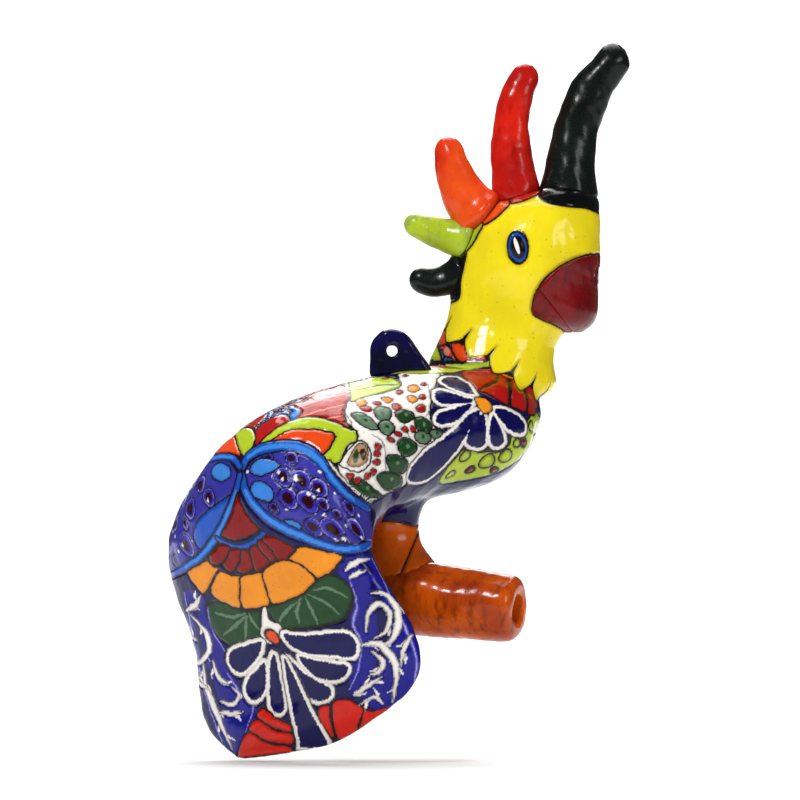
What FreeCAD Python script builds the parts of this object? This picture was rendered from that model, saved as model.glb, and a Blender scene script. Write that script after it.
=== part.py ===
import FreeCAD, Part
import Sketcher

import math
import os

from FreeCAD import Placement, Rotation, Vector

# A glazed earthenware parrot that stands on a log and hangs from a pierced lug on its back.
#
# The origin is the centre of the hanging hole. +X runs the way the head looks and +Z is up. The head,
# its crest and the lug stand in planes along X. The torso runs away from those planes towards +Y, and
# the broad tail shows its back to -Y and -X.
#
# The clay is hollow. Two pressed halves make the torso, two more the tail and two the head. The beak,
# eyes, crest, lug, leg and log are made apart and luted on, so each one ends where its neighbour's
# outer surface begins.

document = FreeCAD.newDocument("hanging_parrot")
sheet = document.addObject("Spreadsheet::Sheet", "Sizes")

# Driving dimensions, in millimetres and degrees.
driving_sizes = {
    "body_length": 234.0,  # rump to breast, along X
    "body_drop": 244.0,  # hanging hole down to the end of the tail
    "body_depth": 80.0,  # back to belly at the deepest place
    "body_width": 108.0,
    "body_turn": 30.0,  # the torso's direction, seen from above
    "tail_width": 164.0,
    "tail_thickness": 46.0,
    "tail_turn": 55.0,  # how far the tail's back turns from -X to -Y
    "tail_offset": -37.0,  # the tail's own Y, which keeps it clear of the log
    "clay_wall": 6.5,
    "head_length": 86.0,
    "head_width": 72.0,
    "head_rise": 99.0,  # hanging hole up to the crown
    "head_offset": 45.0,  # the head's own middle plane, along Y
    "eye_length": 12.6,
    "eye_height": 20.0,
    "eye_bulge": 2.6,
    "beak_length": 80.0,
    "beak_height": 56.0,
    "mouth_slope": -50.0,
    "feather_flatness": 0.8,  # a feather's thickness over its breadth
    "feather_front_reach": 110.0,
    "feather_front_root": 17.5,
    "feather_second_reach": 87.0,
    "feather_second_root": 13.6,
    "feather_third_reach": 54.0,
    "feather_third_root": 13.0,
    "feather_fourth_reach": 44.0,
    "feather_fourth_root": 11.0,
    "feather_rear_reach": 39.0,
    "feather_rear_root": 12.0,
    "lug_radius": 13.0,
    "lug_base": 46.0,
    "lug_thickness": 10.0,
    "lug_depth": 24.0,  # hanging hole down to the lug's sunk root
    "lug_rounding": 3.2,
    "hang_hole_radius": 3.5,
    "leg_radius": 18.0,
    "leg_bore_radius": 9.0,
    "log_length": 146.0,
    "log_radius": 22.5,
    "log_end_radius": 19.5,
    "log_bore_radius": 9.0,
    "log_rounding": 6.0,
    "log_turn": -21.0,
    "log_slope": 6.0,
    "log_drop": 147.0,  # hanging hole down to the log's axis under the leg
    "log_shift": 11.0,  # from the leg to the log's middle, along the log
}
for row, (alias, value) in enumerate(driving_sizes.items(), start=1):
    sheet.set(f"A{row}", alias)
    sheet.set(f"B{row}", str(value))
    sheet.setAlias(f"B{row}", alias)
document.recompute()


def size(alias):
    return float(sheet.get(alias))


# The sizes at which the stations below were set out. They stretch with the sheet's own sizes.
drawn_length, drawn_drop = 234.0, 244.0
drawn_head_length, drawn_head_rise = 86.0, 99.0
drawn_turn = 30.0
rise = size("head_rise") / drawn_head_rise
reach = size("head_length") / drawn_head_length

# Stations from the breast to the end of the tail: the centre's x and z, how far the section's back
# leans from straight up towards the tail, how far that back has turned towards -Y as a share of
# tail_turn, then the section's depth and width as shares of the body's or the tail's.
torso_stations = {
    "breast_tip": (84.5, -39, 0, 0, 0.17, 0.16),
    "breast": (80, -38.5, 0, 0, 0.40, 0.37),
    "crop": (73, -39, 0, 0, 0.62, 0.60),
    "shoulder": (62, -43, 0, 0, 0.82, 0.84),
    "keel": (40, -47, 2, 0, 0.95, 0.97),
    "belly": (12, -51, 6, 0, 1.00, 1.00),
    "saddle": (-14, -58, 19, 0.15, 1.03, 1.02),
    "croup": (-38, -67, 41, 0.33, 1.11, 1.06),
    "rump": (-56, -81, 61, 0.58, 1.22, 1.16),
}
tail_stations = {
    "tail_root": (-70, -102, 78, 0.82, 1.86, 0.87),
    "tail_neck": (-73, -122, 87, 0.94, 1.36, 0.92),
    "tail_middle": (-61, -154, 91, 1, 1.00, 0.97),
    "tail_fan": (-51, -182, 93, 1, 0.85, 1.00),
    "tail_spread": (-51.5, -205, 95, 1, 0.68, 0.96),
    "tail_hem": (-57, -223, 97, 1, 0.52, 0.79),
    "tail_edge": (-62, -235, 98, 1, 0.34, 0.57),
    "tail_end": (-68, -242, 98, 1, 0.18, 0.38),
}
stations = {**torso_stations, **tail_stations}

# The head's stations from inside the breast to the crown: the centre's x and z, the share of the
# head's offset that it stands at, the section's slope, then its half length and half width.
head_stations = {
    "neck_root": (51, -30, 0.82, -10, 34.0, 31.0),
    "neck_low": (58.5, -18, 0.85, -11, 38.5, 33.0),
    "nape": (63, -4, 0.89, -12, 37.0, 32.0),
    "throat": (68, 13, 0.95, -12, 34.5, 30.0),
    "chin": (76, 27, 1, -12, 39.5, 31.5),
    "cheek": (82, 45, 1, -8, 43.0, 35.0),
    "brow": (85, 63, 1, -3, 41.0, 36.0),
    "forehead": (89, 78, 1, -1, 37.3, 33.0),
    "crown": (94, 89, 1, -1, 31.0, 26.5),
    "crown_top": (98, 95.5, 1, -1, 20.5, 17.0),
    "crown_tip": (100, 98.5, 1, -1, 8.0, 7.0),
}

# The beak's own sections, low to high: the centre's x and z, the half length and the half width.
beak_stations = (
    (103, 11.5, 12, 11),
    (100, 14, 19, 18),
    (93, 21, 31.0, 30),
    (86, 31, 39.0, 34.6),
    (83, 45, 42.6, 37.8),
    (85, 64, 40.4, 38.8),
)

# The crest, front to rear: where each feather is rooted, its heading there, how far the heading turns
# along it and how late it does so, and its tip's half breadth as a share of the root's.
crest = {
    "front": (107.5, 80, 91, -52, 1.7, 0.56),
    "second": (77, 86, 100, -46, 2.0, 0.56),
    "third": (59, 79, 143, -54, 1.0, 0.44),
    "fourth": (51, 67, 171, -12, 0.7, 0.46),
    "rear": (47, 51, 222, -64, 1.0, 0.54),
}
feather_shares = (0.0, 0.16, 0.34, 0.52, 0.70, 0.84, 0.93, 0.985)  # sections along a feather

# The leg from inside the belly to inside the log: height, then half length and half breadth over the
# leg's radius.
leg_stations = (
    (-66, 1.90, 1.60),
    (-84, 1.62, 1.40),
    (-93, 1.20, 1.14),
    (-105, 1.00, 0.98),
    (-116, 1.08, 1.00),
    (-126, 1.50, 1.08),
    (-138, 2.00, 1.12),
)


def heading(degrees):
    """The unit direction in the XZ plane, counted from +X towards +Z."""
    turn = math.radians(degrees)
    return Vector(math.cos(turn), 0, math.sin(turn))


def bound(thing, **expressions):
    for prop, expression in expressions.items():
        thing.setExpression(prop, expression)
    return thing


def ring(name, middle, long_way, short_way, long_radius, short_radius):
    """An ellipse whose two radii are expressions of the sheet's cells. It turns itself round if the
    short one has grown past the long one."""
    thing = document.addObject("Part::Ellipse", name)
    if thing.evalExpression(short_radius) > thing.evalExpression(long_radius):
        long_way, short_way = short_way, -long_way
        long_radius, short_radius = short_radius, long_radius
    across = long_way.cross(short_way)
    thing.Placement = Placement(middle, Rotation(long_way, short_way, across, "XYZ"))
    return bound(thing, MajorRadius=long_radius, MinorRadius=short_radius)


def loft(name, rings):
    thing = document.addObject("Part::Loft", name)
    thing.Sections = rings
    thing.Solid = True
    thing.Ruled = False
    return thing


def boolean(kind, name, base, tool):
    thing = document.addObject(f"Part::{kind}", name)
    thing.Base = base
    thing.Tool = tool
    thing.Refine = False
    return thing


def cut(name, base, *tools):
    for step, tool in enumerate(tools, start=1):
        base = boolean("Cut", name if step == len(tools) else f"{name}_less_{step}", base, tool)
    return base


def common(name, base, tool):
    return boolean("Common", name, base, tool)


# ---- the forms that the pieces are cut from ----

def body_centres():
    """Each station's centre: the torso runs along body_turn and the tail hangs at tail_offset."""
    along, down = size("body_length") / drawn_length, size("body_drop") / drawn_drop
    slope = math.tan(math.radians(size("body_turn")))
    hang = size("tail_offset") * along * slope / math.tan(math.radians(drawn_turn))
    centres = {}
    for name, (x, z, *_) in stations.items():
        aside = max(x * along * slope, hang * 0.76) if name in torso_stations else hang
        centres[name] = Vector(x * along, aside, z * down)
    centres["tail_root"].y = hang * 0.93
    return centres


def body_frames():
    """Each station's centre, the way its right edge lies and the way its back faces."""
    centres = body_centres()
    order = list(centres)
    frames = {}
    for place, name in enumerate(order):
        lean, turned = stations[name][2:4]
        before, after = centres[order[max(place - 1, 0)]], centres[order[min(place + 1, len(order) - 1)]]
        rising = heading(90 + lean)
        right = rising.cross(after - before).normalize()
        turn = math.radians(turned * size("tail_turn"))
        back = rising * math.cos(turn) + right * math.sin(turn)
        side = right * math.cos(turn) - rising * math.sin(turn)
        frames[name] = (centres[name], side, back)
    return frames


def body_skin(name, grow, names):
    """The twisting body through its sections, each one drawn from the middle of its back all the way
    round, so that the skin keeps its seam along the spine."""
    frames = body_frames()
    wires = []
    for station in names:
        deep, wide = stations[station][4:]
        tail = station in tail_stations
        half_depth = size("tail_thickness" if tail else "body_depth") * deep / 2 + grow
        half_width = size("tail_width" if tail else "body_width") * wide / 2 + grow
        middle, side, back = frames[station]
        section = Part.Ellipse(middle + side * half_width, middle + back * half_depth, middle)
        wires.append(Part.Wire(section.toShape(math.pi / 2, 5 * math.pi / 2)))
    thing = document.addObject("Part::Feature", name)
    thing.Shape = Part.makeLoft(wires, True, False)
    return thing


def head_rings(kind, grow, names):
    shoulder = torso_stations["shoulder"][0]
    along, down = size("body_length") / drawn_length, size("body_drop") / drawn_drop
    rings = []
    for name in names:
        x, z, aside, slope, half_length, half_width = head_stations[name]
        middle = Vector(
            shoulder * along + (x - shoulder) * reach,
            aside * size("head_offset"),
            z * (rise if z > 0 else down),
        )
        rings.append(ring(
            f"{kind}_at_{name}", middle, heading(slope), Vector(0, 1, 0),
            f"Sizes.head_length * {half_length / drawn_head_length} + {grow}",
            f"Sizes.head_width * {half_width / 72.0} + {grow}",
        ))
    return rings


def half_space(name, point, normal):
    """A block that fills the side of the plane through point towards which normal looks."""
    thing = document.addObject("Part::Box", name)
    across = normal.cross(Vector(0.3, 0.2, 1)).normalize()
    turned = Rotation(across, normal.cross(across), normal, "ZXY")
    for prop in ("Length", "Width", "Height"):
        thing.setExpression(prop, "(Sizes.body_drop + Sizes.head_rise) * 2")
    reach_out = (size("body_drop") + size("head_rise"))
    corner = turned.multVec(Vector(-reach_out, -reach_out, 0))
    thing.Placement = Placement(point + corner, turned)
    return thing


# ---- hanging lug ----

lug_body = document.addObject("PartDesign::Body", "lug_body")
flat = next(plane for plane in lug_body.Origin.OriginFeatures if plane.Role == "XZ_Plane")
outline = lug_body.newObject("Sketcher::SketchObject", "lug_outline")
outline.AttachmentSupport = [(flat, "")]
outline.MapMode = "FlatFace"
crown_radius, base_level = size("lug_radius"), -size("lug_depth")
slant = math.radians(36)
base_end = size("lug_base") - crown_radius
outline.addGeometry([
    Part.ArcOfCircle(Part.Circle(Vector(0, 0, 0), Vector(0, 0, 1), crown_radius), slant, math.pi),
    Part.LineSegment(Vector(-crown_radius, 0, 0), Vector(-crown_radius, base_level, 0)),
    Part.LineSegment(Vector(-crown_radius, base_level, 0), Vector(base_end, base_level, 0)),
    Part.LineSegment(
        Vector(base_end, base_level, 0),
        Vector(crown_radius * math.cos(slant), crown_radius * math.sin(slant), 0),
    ),
])
outline.addConstraint([
    Sketcher.Constraint("Coincident", 0, 3, -1, 1),
    Sketcher.Constraint("Tangent", 0, 2, 1, 1),
    Sketcher.Constraint("Coincident", 1, 2, 2, 1),
    Sketcher.Constraint("Coincident", 2, 2, 3, 1),
    Sketcher.Constraint("Tangent", 3, 2, 0, 1),
    Sketcher.Constraint("Vertical", 1),
    Sketcher.Constraint("Horizontal", 2),
])
for label, rule in (
    ("crown", Sketcher.Constraint("Radius", 0, crown_radius)),
    ("depth", Sketcher.Constraint("DistanceY", 2, 1, -1, 1, -base_level)),
    ("base", Sketcher.Constraint("DistanceX", 2, 1, 2, 2, size("lug_base"))),
):
    outline.renameConstraint(outline.addConstraint(rule), label)
bound(outline, **{
    "Constraints.crown": "Sizes.lug_radius",
    "Constraints.depth": "Sizes.lug_depth",
    "Constraints.base": "Sizes.lug_base",
})
lug_pad = lug_body.newObject("PartDesign::Pad", "lug_pad")
lug_pad.Profile = outline
lug_pad.Midplane = True
bound(lug_pad, Length="Sizes.lug_thickness")
document.recompute()
rims = []
for number, edge in enumerate(lug_pad.Shape.Edges, start=1):
    middle = edge.CenterOfMass
    if abs(abs(middle.y) - size("lug_thickness") / 2) < 0.01 and middle.z > base_level + 0.01:
        rims.append(f"Edge{number}")
lug_round = lug_body.newObject("PartDesign::Fillet", "lug_round")
lug_round.Base = (lug_pad, rims)
bound(lug_round, Radius="Sizes.lug_rounding")
lug_body.Tip = lug_round
hang_hole = document.addObject("Part::Cylinder", "hang_hole")
bound(hang_hole, Radius="Sizes.hang_hole_radius", Height="Sizes.lug_thickness * 3")
hang_hole.Placement = Placement(
    Vector(0, -1.5 * size("lug_thickness"), 0), Rotation(Vector(0, 0, 1), Vector(0, 1, 0))
)

# ---- log ----

log_way = Rotation(Vector(0, 0, 1), size("log_turn")).multiply(Rotation(Vector(0, 1, 0), size("log_slope")))
leg_foot = Vector(-2, 2, -size("log_drop"))
log_middle = leg_foot + log_way.multVec(Vector(size("log_shift"), 0, 0))
log_blank = document.addObject("PartDesign::Body", "log_blank")
flat = next(plane for plane in log_blank.Origin.OriginFeatures if plane.Role == "XZ_Plane")
profile = log_blank.newObject("Sketcher::SketchObject", "log_profile")
profile.AttachmentSupport = [(flat, "")]
profile.MapMode = "FlatFace"
half_log, belly_radius, end_radius = size("log_length") / 2, size("log_radius"), size("log_end_radius")
corners = [
    Vector(-half_log, 0, 0), Vector(-half_log, end_radius, 0), Vector(0, belly_radius, 0),
    Vector(half_log, end_radius, 0), Vector(half_log, 0, 0),
]
profile.addGeometry([
    Part.LineSegment(corners[0], corners[1]),
    Part.Arc(corners[1], corners[2], corners[3]),
    Part.LineSegment(corners[3], corners[4]),
    Part.LineSegment(corners[4], corners[0]),
])
profile.addConstraint([
    Sketcher.Constraint("Coincident", 0, 2, 1, 2),
    Sketcher.Constraint("Coincident", 1, 1, 2, 1),
    Sketcher.Constraint("Coincident", 2, 2, 3, 1),
    Sketcher.Constraint("Coincident", 3, 2, 0, 1),
    Sketcher.Constraint("Vertical", 0),
    Sketcher.Constraint("Vertical", 2),
    Sketcher.Constraint("PointOnObject", 0, 1, -1),
    Sketcher.Constraint("Symmetric", 3, 1, 3, 2, -1, 1),
])
sag = belly_radius - end_radius
for label, rule in (
    ("bow", Sketcher.Constraint("Radius", 1, (half_log**2 + sag**2) / (2 * sag))),
    ("long", Sketcher.Constraint("DistanceX", 3, 2, 3, 1, 2 * half_log)),
    ("end_half", Sketcher.Constraint("DistanceY", 0, 1, 0, 2, end_radius)),
    ("other_end_half", Sketcher.Constraint("DistanceY", 2, 2, 2, 1, end_radius)),
):
    profile.renameConstraint(profile.addConstraint(rule), label)
sag_cells = "(Sizes.log_radius - Sizes.log_end_radius)"
bound(profile, **{
    "Constraints.bow": f"((Sizes.log_length / 2)^2 + {sag_cells}^2) / (2 * {sag_cells})",
    "Constraints.long": "Sizes.log_length",
    "Constraints.end_half": "Sizes.log_end_radius",
    "Constraints.other_end_half": "Sizes.log_end_radius",
})
log_turned = log_blank.newObject("PartDesign::Revolution", "log_turned")
log_turned.Profile = profile
log_turned.ReferenceAxis = (profile, ["H_Axis"])
document.recompute()
log_rims = []
for number, edge in enumerate(log_turned.Shape.Edges, start=1):
    if abs(abs(edge.CenterOfMass.x) - half_log) < 0.01:
        log_rims.append(f"Edge{number}")
log_round = log_blank.newObject("PartDesign::Fillet", "log_round")
log_round.Base = (log_turned, log_rims)
bound(log_round, Radius="Sizes.log_rounding")
log_blank.Tip = log_round
log_blank.Placement = Placement(log_middle, log_way)
log_bore = document.addObject("Part::Cylinder", "log_bore")
bound(log_bore, Radius="Sizes.log_bore_radius", Height="Sizes.log_length * 1.2")
log_bore.Placement = Placement(
    log_middle - log_way.multVec(Vector(0.6 * size("log_length"), 0, 0)),
    log_way.multiply(Rotation(Vector(0, 0, 1), Vector(1, 0, 0))),
)
perch_log = cut("perch_log", log_blank, log_bore)

body_names = list(stations)
head_names = list(head_stations)
frames = body_frames()
clay_wall = size("clay_wall")
inward = "-Sizes.clay_wall"
body_form = body_skin("body_form", 0, body_names)
body_hollow = body_skin("body_hollow", -clay_wall, body_names[2:-3])
head_form = loft("head_form", head_rings("face", 0, head_names))
head_hollow = loft("head_hollow", head_rings("cavity", inward, head_names[:-2]))

# ---- torso and tail ----

body_shell = cut("body_shell", body_form, body_hollow)
rump, rump_side, rump_back = frames["rump"]
tail_end_side = half_space("tail_end_side", rump, rump_side.cross(rump_back))
torso_shell = cut("torso_shell", body_shell, tail_end_side)
tail_shell = common("tail_shell", body_shell, tail_end_side)

left_turn = math.radians(size("body_turn") + 90)
left_side = half_space("left_side", Vector(0, 0, 0), Vector(math.cos(left_turn), math.sin(left_turn), 0))
torso_left = common("torso_left", torso_shell, left_side)
torso_right = cut("torso_right", torso_shell, left_side)

seam_run = frames["tail_edge"][0] - frames["tail_middle"][0]
tail_front_way = seam_run.cross(frames["tail_middle"][1]).normalize()
front_side = half_space("front_side", frames["tail_middle"][0], tail_front_way)
tail_front = common("tail_front", tail_shell, front_side)
tail_back = cut("tail_back", tail_shell, front_side)

# ---- head ----

head_seam_aside = 3.0  # the head's seam runs beside its middle, under the crest's roots
head_middle = Vector(0, size("head_offset") + head_seam_aside, 0)
head_shell = cut("head_shell", head_form, head_hollow, body_form)
head_left_side = half_space("head_left_side", head_middle, Vector(0, 1, 0))
head_left = common("head_left", head_shell, head_left_side)
head_right = cut("head_right", head_shell, head_left_side)


def head_point(x, aside, z):
    """A place on the head given for the head as drawn, where aside counts from its middle plane."""
    shoulder = torso_stations["shoulder"][0]
    along = size("body_length") / drawn_length
    return Vector(
        shoulder * along + (x - shoulder) * reach,
        size("head_offset") + aside * size("head_width") / 72.0,
        z * rise,
    )


# ---- beak: a block that stands out from the cheek inside a round outline, parted at the mouth ----

beak_rings = []
for level, (x, z, half_length, half_width) in enumerate(beak_stations, start=1):
    beak_rings.append(ring(
        f"beak_at_{level}", head_point(x, 0, z), Vector(-1, 0, 0), Vector(0, -1, 0),
        f"Sizes.head_length * {half_length / drawn_head_length}",
        f"Sizes.head_width * {half_width / 72.0}",
    ))
beak_rim = ring(
    "beak_rim", head_point(124.4, -60, 30.4), heading(15), heading(105),
    "Sizes.beak_length / 2", "Sizes.beak_height / 2",
)
beak_outline = document.addObject("Part::Extrusion", "beak_outline")
beak_outline.Base = beak_rim
beak_outline.Dir = Vector(0, 1, 0)
beak_outline.Solid = True
bound(beak_outline, LengthFwd="Sizes.head_width * 2")
beak_block = common("beak_block", loft("beak_mass", beak_rings), beak_outline)
mouth = head_point(97, 0, 27)
lower_side = half_space("lower_side", mouth, heading(size("mouth_slope") - 90))
beak_lower = cut("beak_lower", common("beak_lower_block", beak_block, lower_side), head_form)
beak_upper = cut("beak_upper", beak_block, lower_side, head_form)

# ---- eyes: clay buttons pressed on the cheeks ----

eyes = []
for name, way in (("eye_right", -1), ("eye_left", 1)):
    button = document.addObject("Part::Ellipsoid", f"{name}_button")
    bound(
        button, Radius1="Sizes.eye_height / 2", Radius2="Sizes.eye_length / 2", Radius3="Sizes.eye_bulge",
        Angle1="-90", Angle2="90", Angle3="360",
    )
    button.Placement = Placement(head_point(76.1, way * 34.9, 62.8), Rotation(Vector(0, 1, 0), -9))
    eyes.append(cut(name, button, head_form))

# ---- crest ----

feathers = []
for name, (x, z, start, turn, late, tip) in crest.items():
    long = size(f"feather_{name}_reach")
    root = size(f"feather_{name}_root")
    walked, place, rings = 0.0, head_point(x, 0, z), []
    for share in feather_shares:
        steps = 12
        for step in range(steps):
            there = walked + (share - walked) * (step + 0.5) / steps
            place = place + heading(start + turn * there**late) * (long * (share - walked) / steps)
        walked = share
        flare = 1 + 0.24 * max(0, 1 - share / 0.3) ** 2
        half = 1 - (1 - tip) * share
        left_over = long * (1 - share)
        if left_over < half * root:
            half = math.sqrt((half * root) ** 2 - (half * root - left_over) ** 2) / root
        across = heading(start + turn * share**late + 90)
        rings.append(ring(
            f"{name}_feather_{len(rings) + 1}", place, across, Vector(0, 1, 0),
            f"Sizes.feather_{name}_root * {half * flare}",
            f"Sizes.feather_{name}_root * {half * min(flare, 1.12)} * Sizes.feather_flatness",
        ))
    feather = loft(f"{name}_feather_form", rings)
    feathers.append(cut(f"crest_feather_{name}", feather, head_form, *feathers[-1:]))

# ---- lug and leg, cut to the body ----

hanging_lug = cut("hanging_lug", lug_body, hang_hole, body_form)
leg_rings = []
for level, (z, long_share, short_share) in enumerate(leg_stations, start=1):
    leg_rings.append(ring(
        f"leg_at_{level}", Vector(leg_foot.x, leg_foot.y, z * size("log_drop") / 147.0),
        Vector(math.cos(math.radians(size("log_turn"))), math.sin(math.radians(size("log_turn"))), 0),
        Vector(-math.sin(math.radians(size("log_turn"))), math.cos(math.radians(size("log_turn"))), 0),
        f"Sizes.leg_radius * {long_share}", f"Sizes.leg_radius * {short_share}",
    ))
leg_bore = document.addObject("Part::Cylinder", "leg_bore")
bound(leg_bore, Radius="Sizes.leg_bore_radius", Height="Sizes.log_drop")
leg_bore.Placement = Placement(leg_foot, Rotation())
leg = cut("leg", loft("leg_form", leg_rings), body_form, log_blank, leg_bore)

# ---- the pieces ----

pieces = [
    torso_right, torso_left, tail_back, tail_front, head_right, head_left,
    beak_upper, beak_lower, *eyes, *feathers, hanging_lug, leg, perch_log,
]
document.recompute()
for thing in document.Objects:
    if "Invalid" in thing.State or "Error" in thing.State:
        raise ValueError(f"{thing.Name} failed: {thing.State}")
for piece in pieces:
    piece.Label = piece.Name
    if piece.Shape.isNull() or not piece.Shape.isValid() or len(piece.Shape.Solids) != 1:
        raise ValueError(f"{piece.Name} isn't one sound solid")
os.makedirs("parts", exist_ok=True)
for piece in pieces:
    piece.Shape.exportStep(f"parts/{piece.Label}.step")
print("saved", len(pieces), "pieces")
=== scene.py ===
import math

import bmesh
import bpy
import numpy as np
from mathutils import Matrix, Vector
from mathutils.bvhtree import BVHTree
from mathutils.kdtree import KDTree


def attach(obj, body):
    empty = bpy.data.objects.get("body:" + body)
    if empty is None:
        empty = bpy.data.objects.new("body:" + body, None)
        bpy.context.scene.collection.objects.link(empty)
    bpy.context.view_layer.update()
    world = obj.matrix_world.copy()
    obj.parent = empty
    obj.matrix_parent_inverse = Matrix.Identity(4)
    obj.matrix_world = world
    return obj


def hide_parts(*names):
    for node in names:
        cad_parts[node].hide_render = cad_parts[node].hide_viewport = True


# A hanging earthenware parrot, tin-glazed in many colours over dark outlines.
# +X is the way the head looks and +Z is up; lengths are worked out in millimetres and put down in metres.

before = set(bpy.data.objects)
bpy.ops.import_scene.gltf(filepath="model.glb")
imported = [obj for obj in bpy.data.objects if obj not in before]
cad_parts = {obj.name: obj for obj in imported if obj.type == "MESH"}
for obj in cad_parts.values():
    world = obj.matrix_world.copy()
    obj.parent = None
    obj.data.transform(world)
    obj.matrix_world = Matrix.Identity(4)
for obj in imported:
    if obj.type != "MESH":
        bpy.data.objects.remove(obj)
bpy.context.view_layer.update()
milli = 0.001


def linear(hexText):
    # sRGB hex to linear light
    parts = np.array([int(hexText[i:i + 2], 16) for i in (1, 3, 5)]) / 255
    return np.where(parts <= 0.04045, parts / 12.92, ((parts + 0.055) / 1.055) ** 2.4)


# Glaze colours, as the fired surface looks in daylight.
glaze = {
    "yellow": "#FAE41E",
    "lime": "#B4CC28",
    "red": "#B01410",
    "scarlet": "#D8200F",
    "orange": "#EA4A18",
    "apricot": "#F6951A",
    "navy": "#0E0B4E",
    "ink": "#15110F",
    "cobalt": "#1C56BE",
    "sky": "#3D86DC",
    "violet": "#3430B4",
    "lavender": "#9A94DE",
    "iris": "#3A36A0",
    "ultramarine": "#1A1788",
    "plum": "#2C0812",
    "maroon": "#86090C",
    "green": "#1B4420",
    "sage": "#5F7F62",
    "white": "#FBF6EC",
    "blush": "#E8907E",
    "tan": "#B89264",
    "amber": "#DE5E0A",
    "rust": "#A8360A",
    "umber": "#3A1206",
    "slate": "#6E7672",
    "black": "#080D0C",
    "bottle": "#101B17",
    "oxblood": "#620404",
    "flame": "#F0571A",
    "olive": "#9CB020",
}
glaze = {name: linear(text) for name, text in glaze.items()}


# Mesh helpers work in millimetres.

def coordinates(mesh):
    points = np.empty(len(mesh.vertices) * 3)
    mesh.vertices.foreach_get("co", points)
    return points.reshape(-1, 3) / milli


def setCoordinates(mesh, points):
    mesh.vertices.foreach_set("co", (points * milli).ravel())
    mesh.update()


def vertexNormals(mesh):
    values = np.empty(len(mesh.vertices) * 3)
    mesh.vertices.foreach_get("normal", values)
    return values.reshape(-1, 3)


def linked(name, data):
    thing = bpy.data.objects.new(name, data)
    bpy.context.scene.collection.objects.link(thing)
    return thing


def newPiece(name, points, faces):
    mesh = bpy.data.meshes.new(name)
    mesh.from_pydata((np.asarray(points) * milli).tolist(), [], faces)
    mesh.validate()
    return linked(name, mesh)


def copyOfNodes(name, nodes):
    work = bmesh.new()
    for node in nodes:
        work.from_mesh(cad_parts[node].data)
    mesh = bpy.data.meshes.new(name)
    work.to_mesh(mesh)
    work.free()
    return linked(name, mesh)


def remesh(piece, cell):
    # one new skin round everything in the piece, its faces about a cell across
    change = piece.modifiers.new("remesh", "REMESH")
    change.mode = "VOXEL"
    change.voxel_size = cell * milli
    change.adaptivity = 0
    graph = bpy.context.evaluated_depsgraph_get()
    mesh = bpy.data.meshes.new_from_object(piece.evaluated_get(graph))
    piece.modifiers.clear()
    piece.data = mesh


def largestIsland(piece):
    work = bmesh.new()
    work.from_mesh(piece.data)
    work.verts.ensure_lookup_table()
    label = [-1] * len(work.verts)
    counts = []
    for start in work.verts:
        if label[start.index] >= 0:
            continue
        number = len(counts)
        stack, count = [start], 0
        label[start.index] = number
        while stack:
            vertex = stack.pop()
            count += 1
            for edge in vertex.link_edges:
                other = edge.other_vert(vertex)
                if label[other.index] < 0:
                    label[other.index] = number
                    stack.append(other)
        counts.append(count)
    keep = counts.index(max(counts))
    bmesh.ops.delete(work, geom=[v for v in work.verts if label[v.index] != keep], context="VERTS")
    work.to_mesh(piece.data)
    work.free()


def smoothed(mesh, points, weights, rounds):
    # each round moves a vertex towards the mean of its neighbours by its weight
    edges = np.empty(len(mesh.edges) * 2, np.int32)
    mesh.edges.foreach_get("vertices", edges)
    edges = edges.reshape(-1, 2)
    degree = np.bincount(edges.ravel(), minlength=len(points)).astype(float)
    degree[degree == 0] = 1
    weights = weights[:, None]
    for _ in range(rounds):
        total = np.zeros_like(points)
        for axis in range(3):
            total[:, axis] = (
                np.bincount(edges[:, 0], points[edges[:, 1], axis], len(points))
                + np.bincount(edges[:, 1], points[edges[:, 0], axis], len(points))
            )
        points = points + weights * (total / degree[:, None] - points)
    return points


def wobble(points, wave, seed, layers=7):
    # a smooth random field from a few crossed waves, about -1 to 1
    dice = np.random.default_rng(seed)
    field = np.zeros(len(points))
    for _ in range(layers):
        way = dice.normal(size=3)
        way /= np.linalg.norm(way)
        length = wave * dice.uniform(0.7, 1.5)
        field += np.sin(points @ way * (2 * math.pi / length) + dice.uniform(0, 6.3))
    return field / math.sqrt(layers)


def shadeSmooth(piece):
    piece.data.polygons.foreach_set("use_smooth", np.ones(len(piece.data.polygons), bool))


def putField(mesh, name, kind, values):
    field = mesh.attributes.new(name, kind, "POINT")
    if kind == "FLOAT_COLOR":
        full = np.ones((len(values), 4), np.float32)
        full[:, :3] = values
        field.data.foreach_set("color", full.ravel())
    else:
        field.data.foreach_set("value", np.asarray(values, np.float32))


def settle(piece, nodes):
    shadeSmooth(piece)
    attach(piece, "root")
    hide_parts(*nodes)


def ease(value, low, high):
    part = np.clip((value - low) / (high - low), 0, 1)
    return part * part * (3 - 2 * part)


# The clay skin: torso, tail, head and leg luted together and smoothed into one surface.
body = {
    "nodes": ("torso_right", "torso_left", "tail_back", "tail_front", "head_right", "head_left", "leg"),
    "cell": 0.85, "quickCell": 1.6,
    "neck": (72.0, 40.0, -12.0), "neckWay": (0.55, 0.0, 0.835),
    "leg": (-2.0, 2.0),
    "lumps": ((0.55, 46, 3), (0.22, 17, 4), (0.06, 6, 5)),  # height and wave in mm, seed
}
skin = copyOfNodes("claySkin", body["nodes"])
remesh(skin, body["cell"])
largestIsland(skin)
points = coordinates(skin.data)
neckPoint, neckWay = np.array(body["neck"]), np.array(body["neckWay"])
nearNeck = 1 - ease(np.abs((points - neckPoint) @ neckWay), 6, 16)
legGap = np.linalg.norm(points[:, :2] - np.array(body["leg"]), axis=1)
nearLeg = (1 - ease(legGap, 34, 50)) * (1 - ease(points[:, 2], -86, -72)) * ease(points[:, 2], -122, -112)
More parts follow.
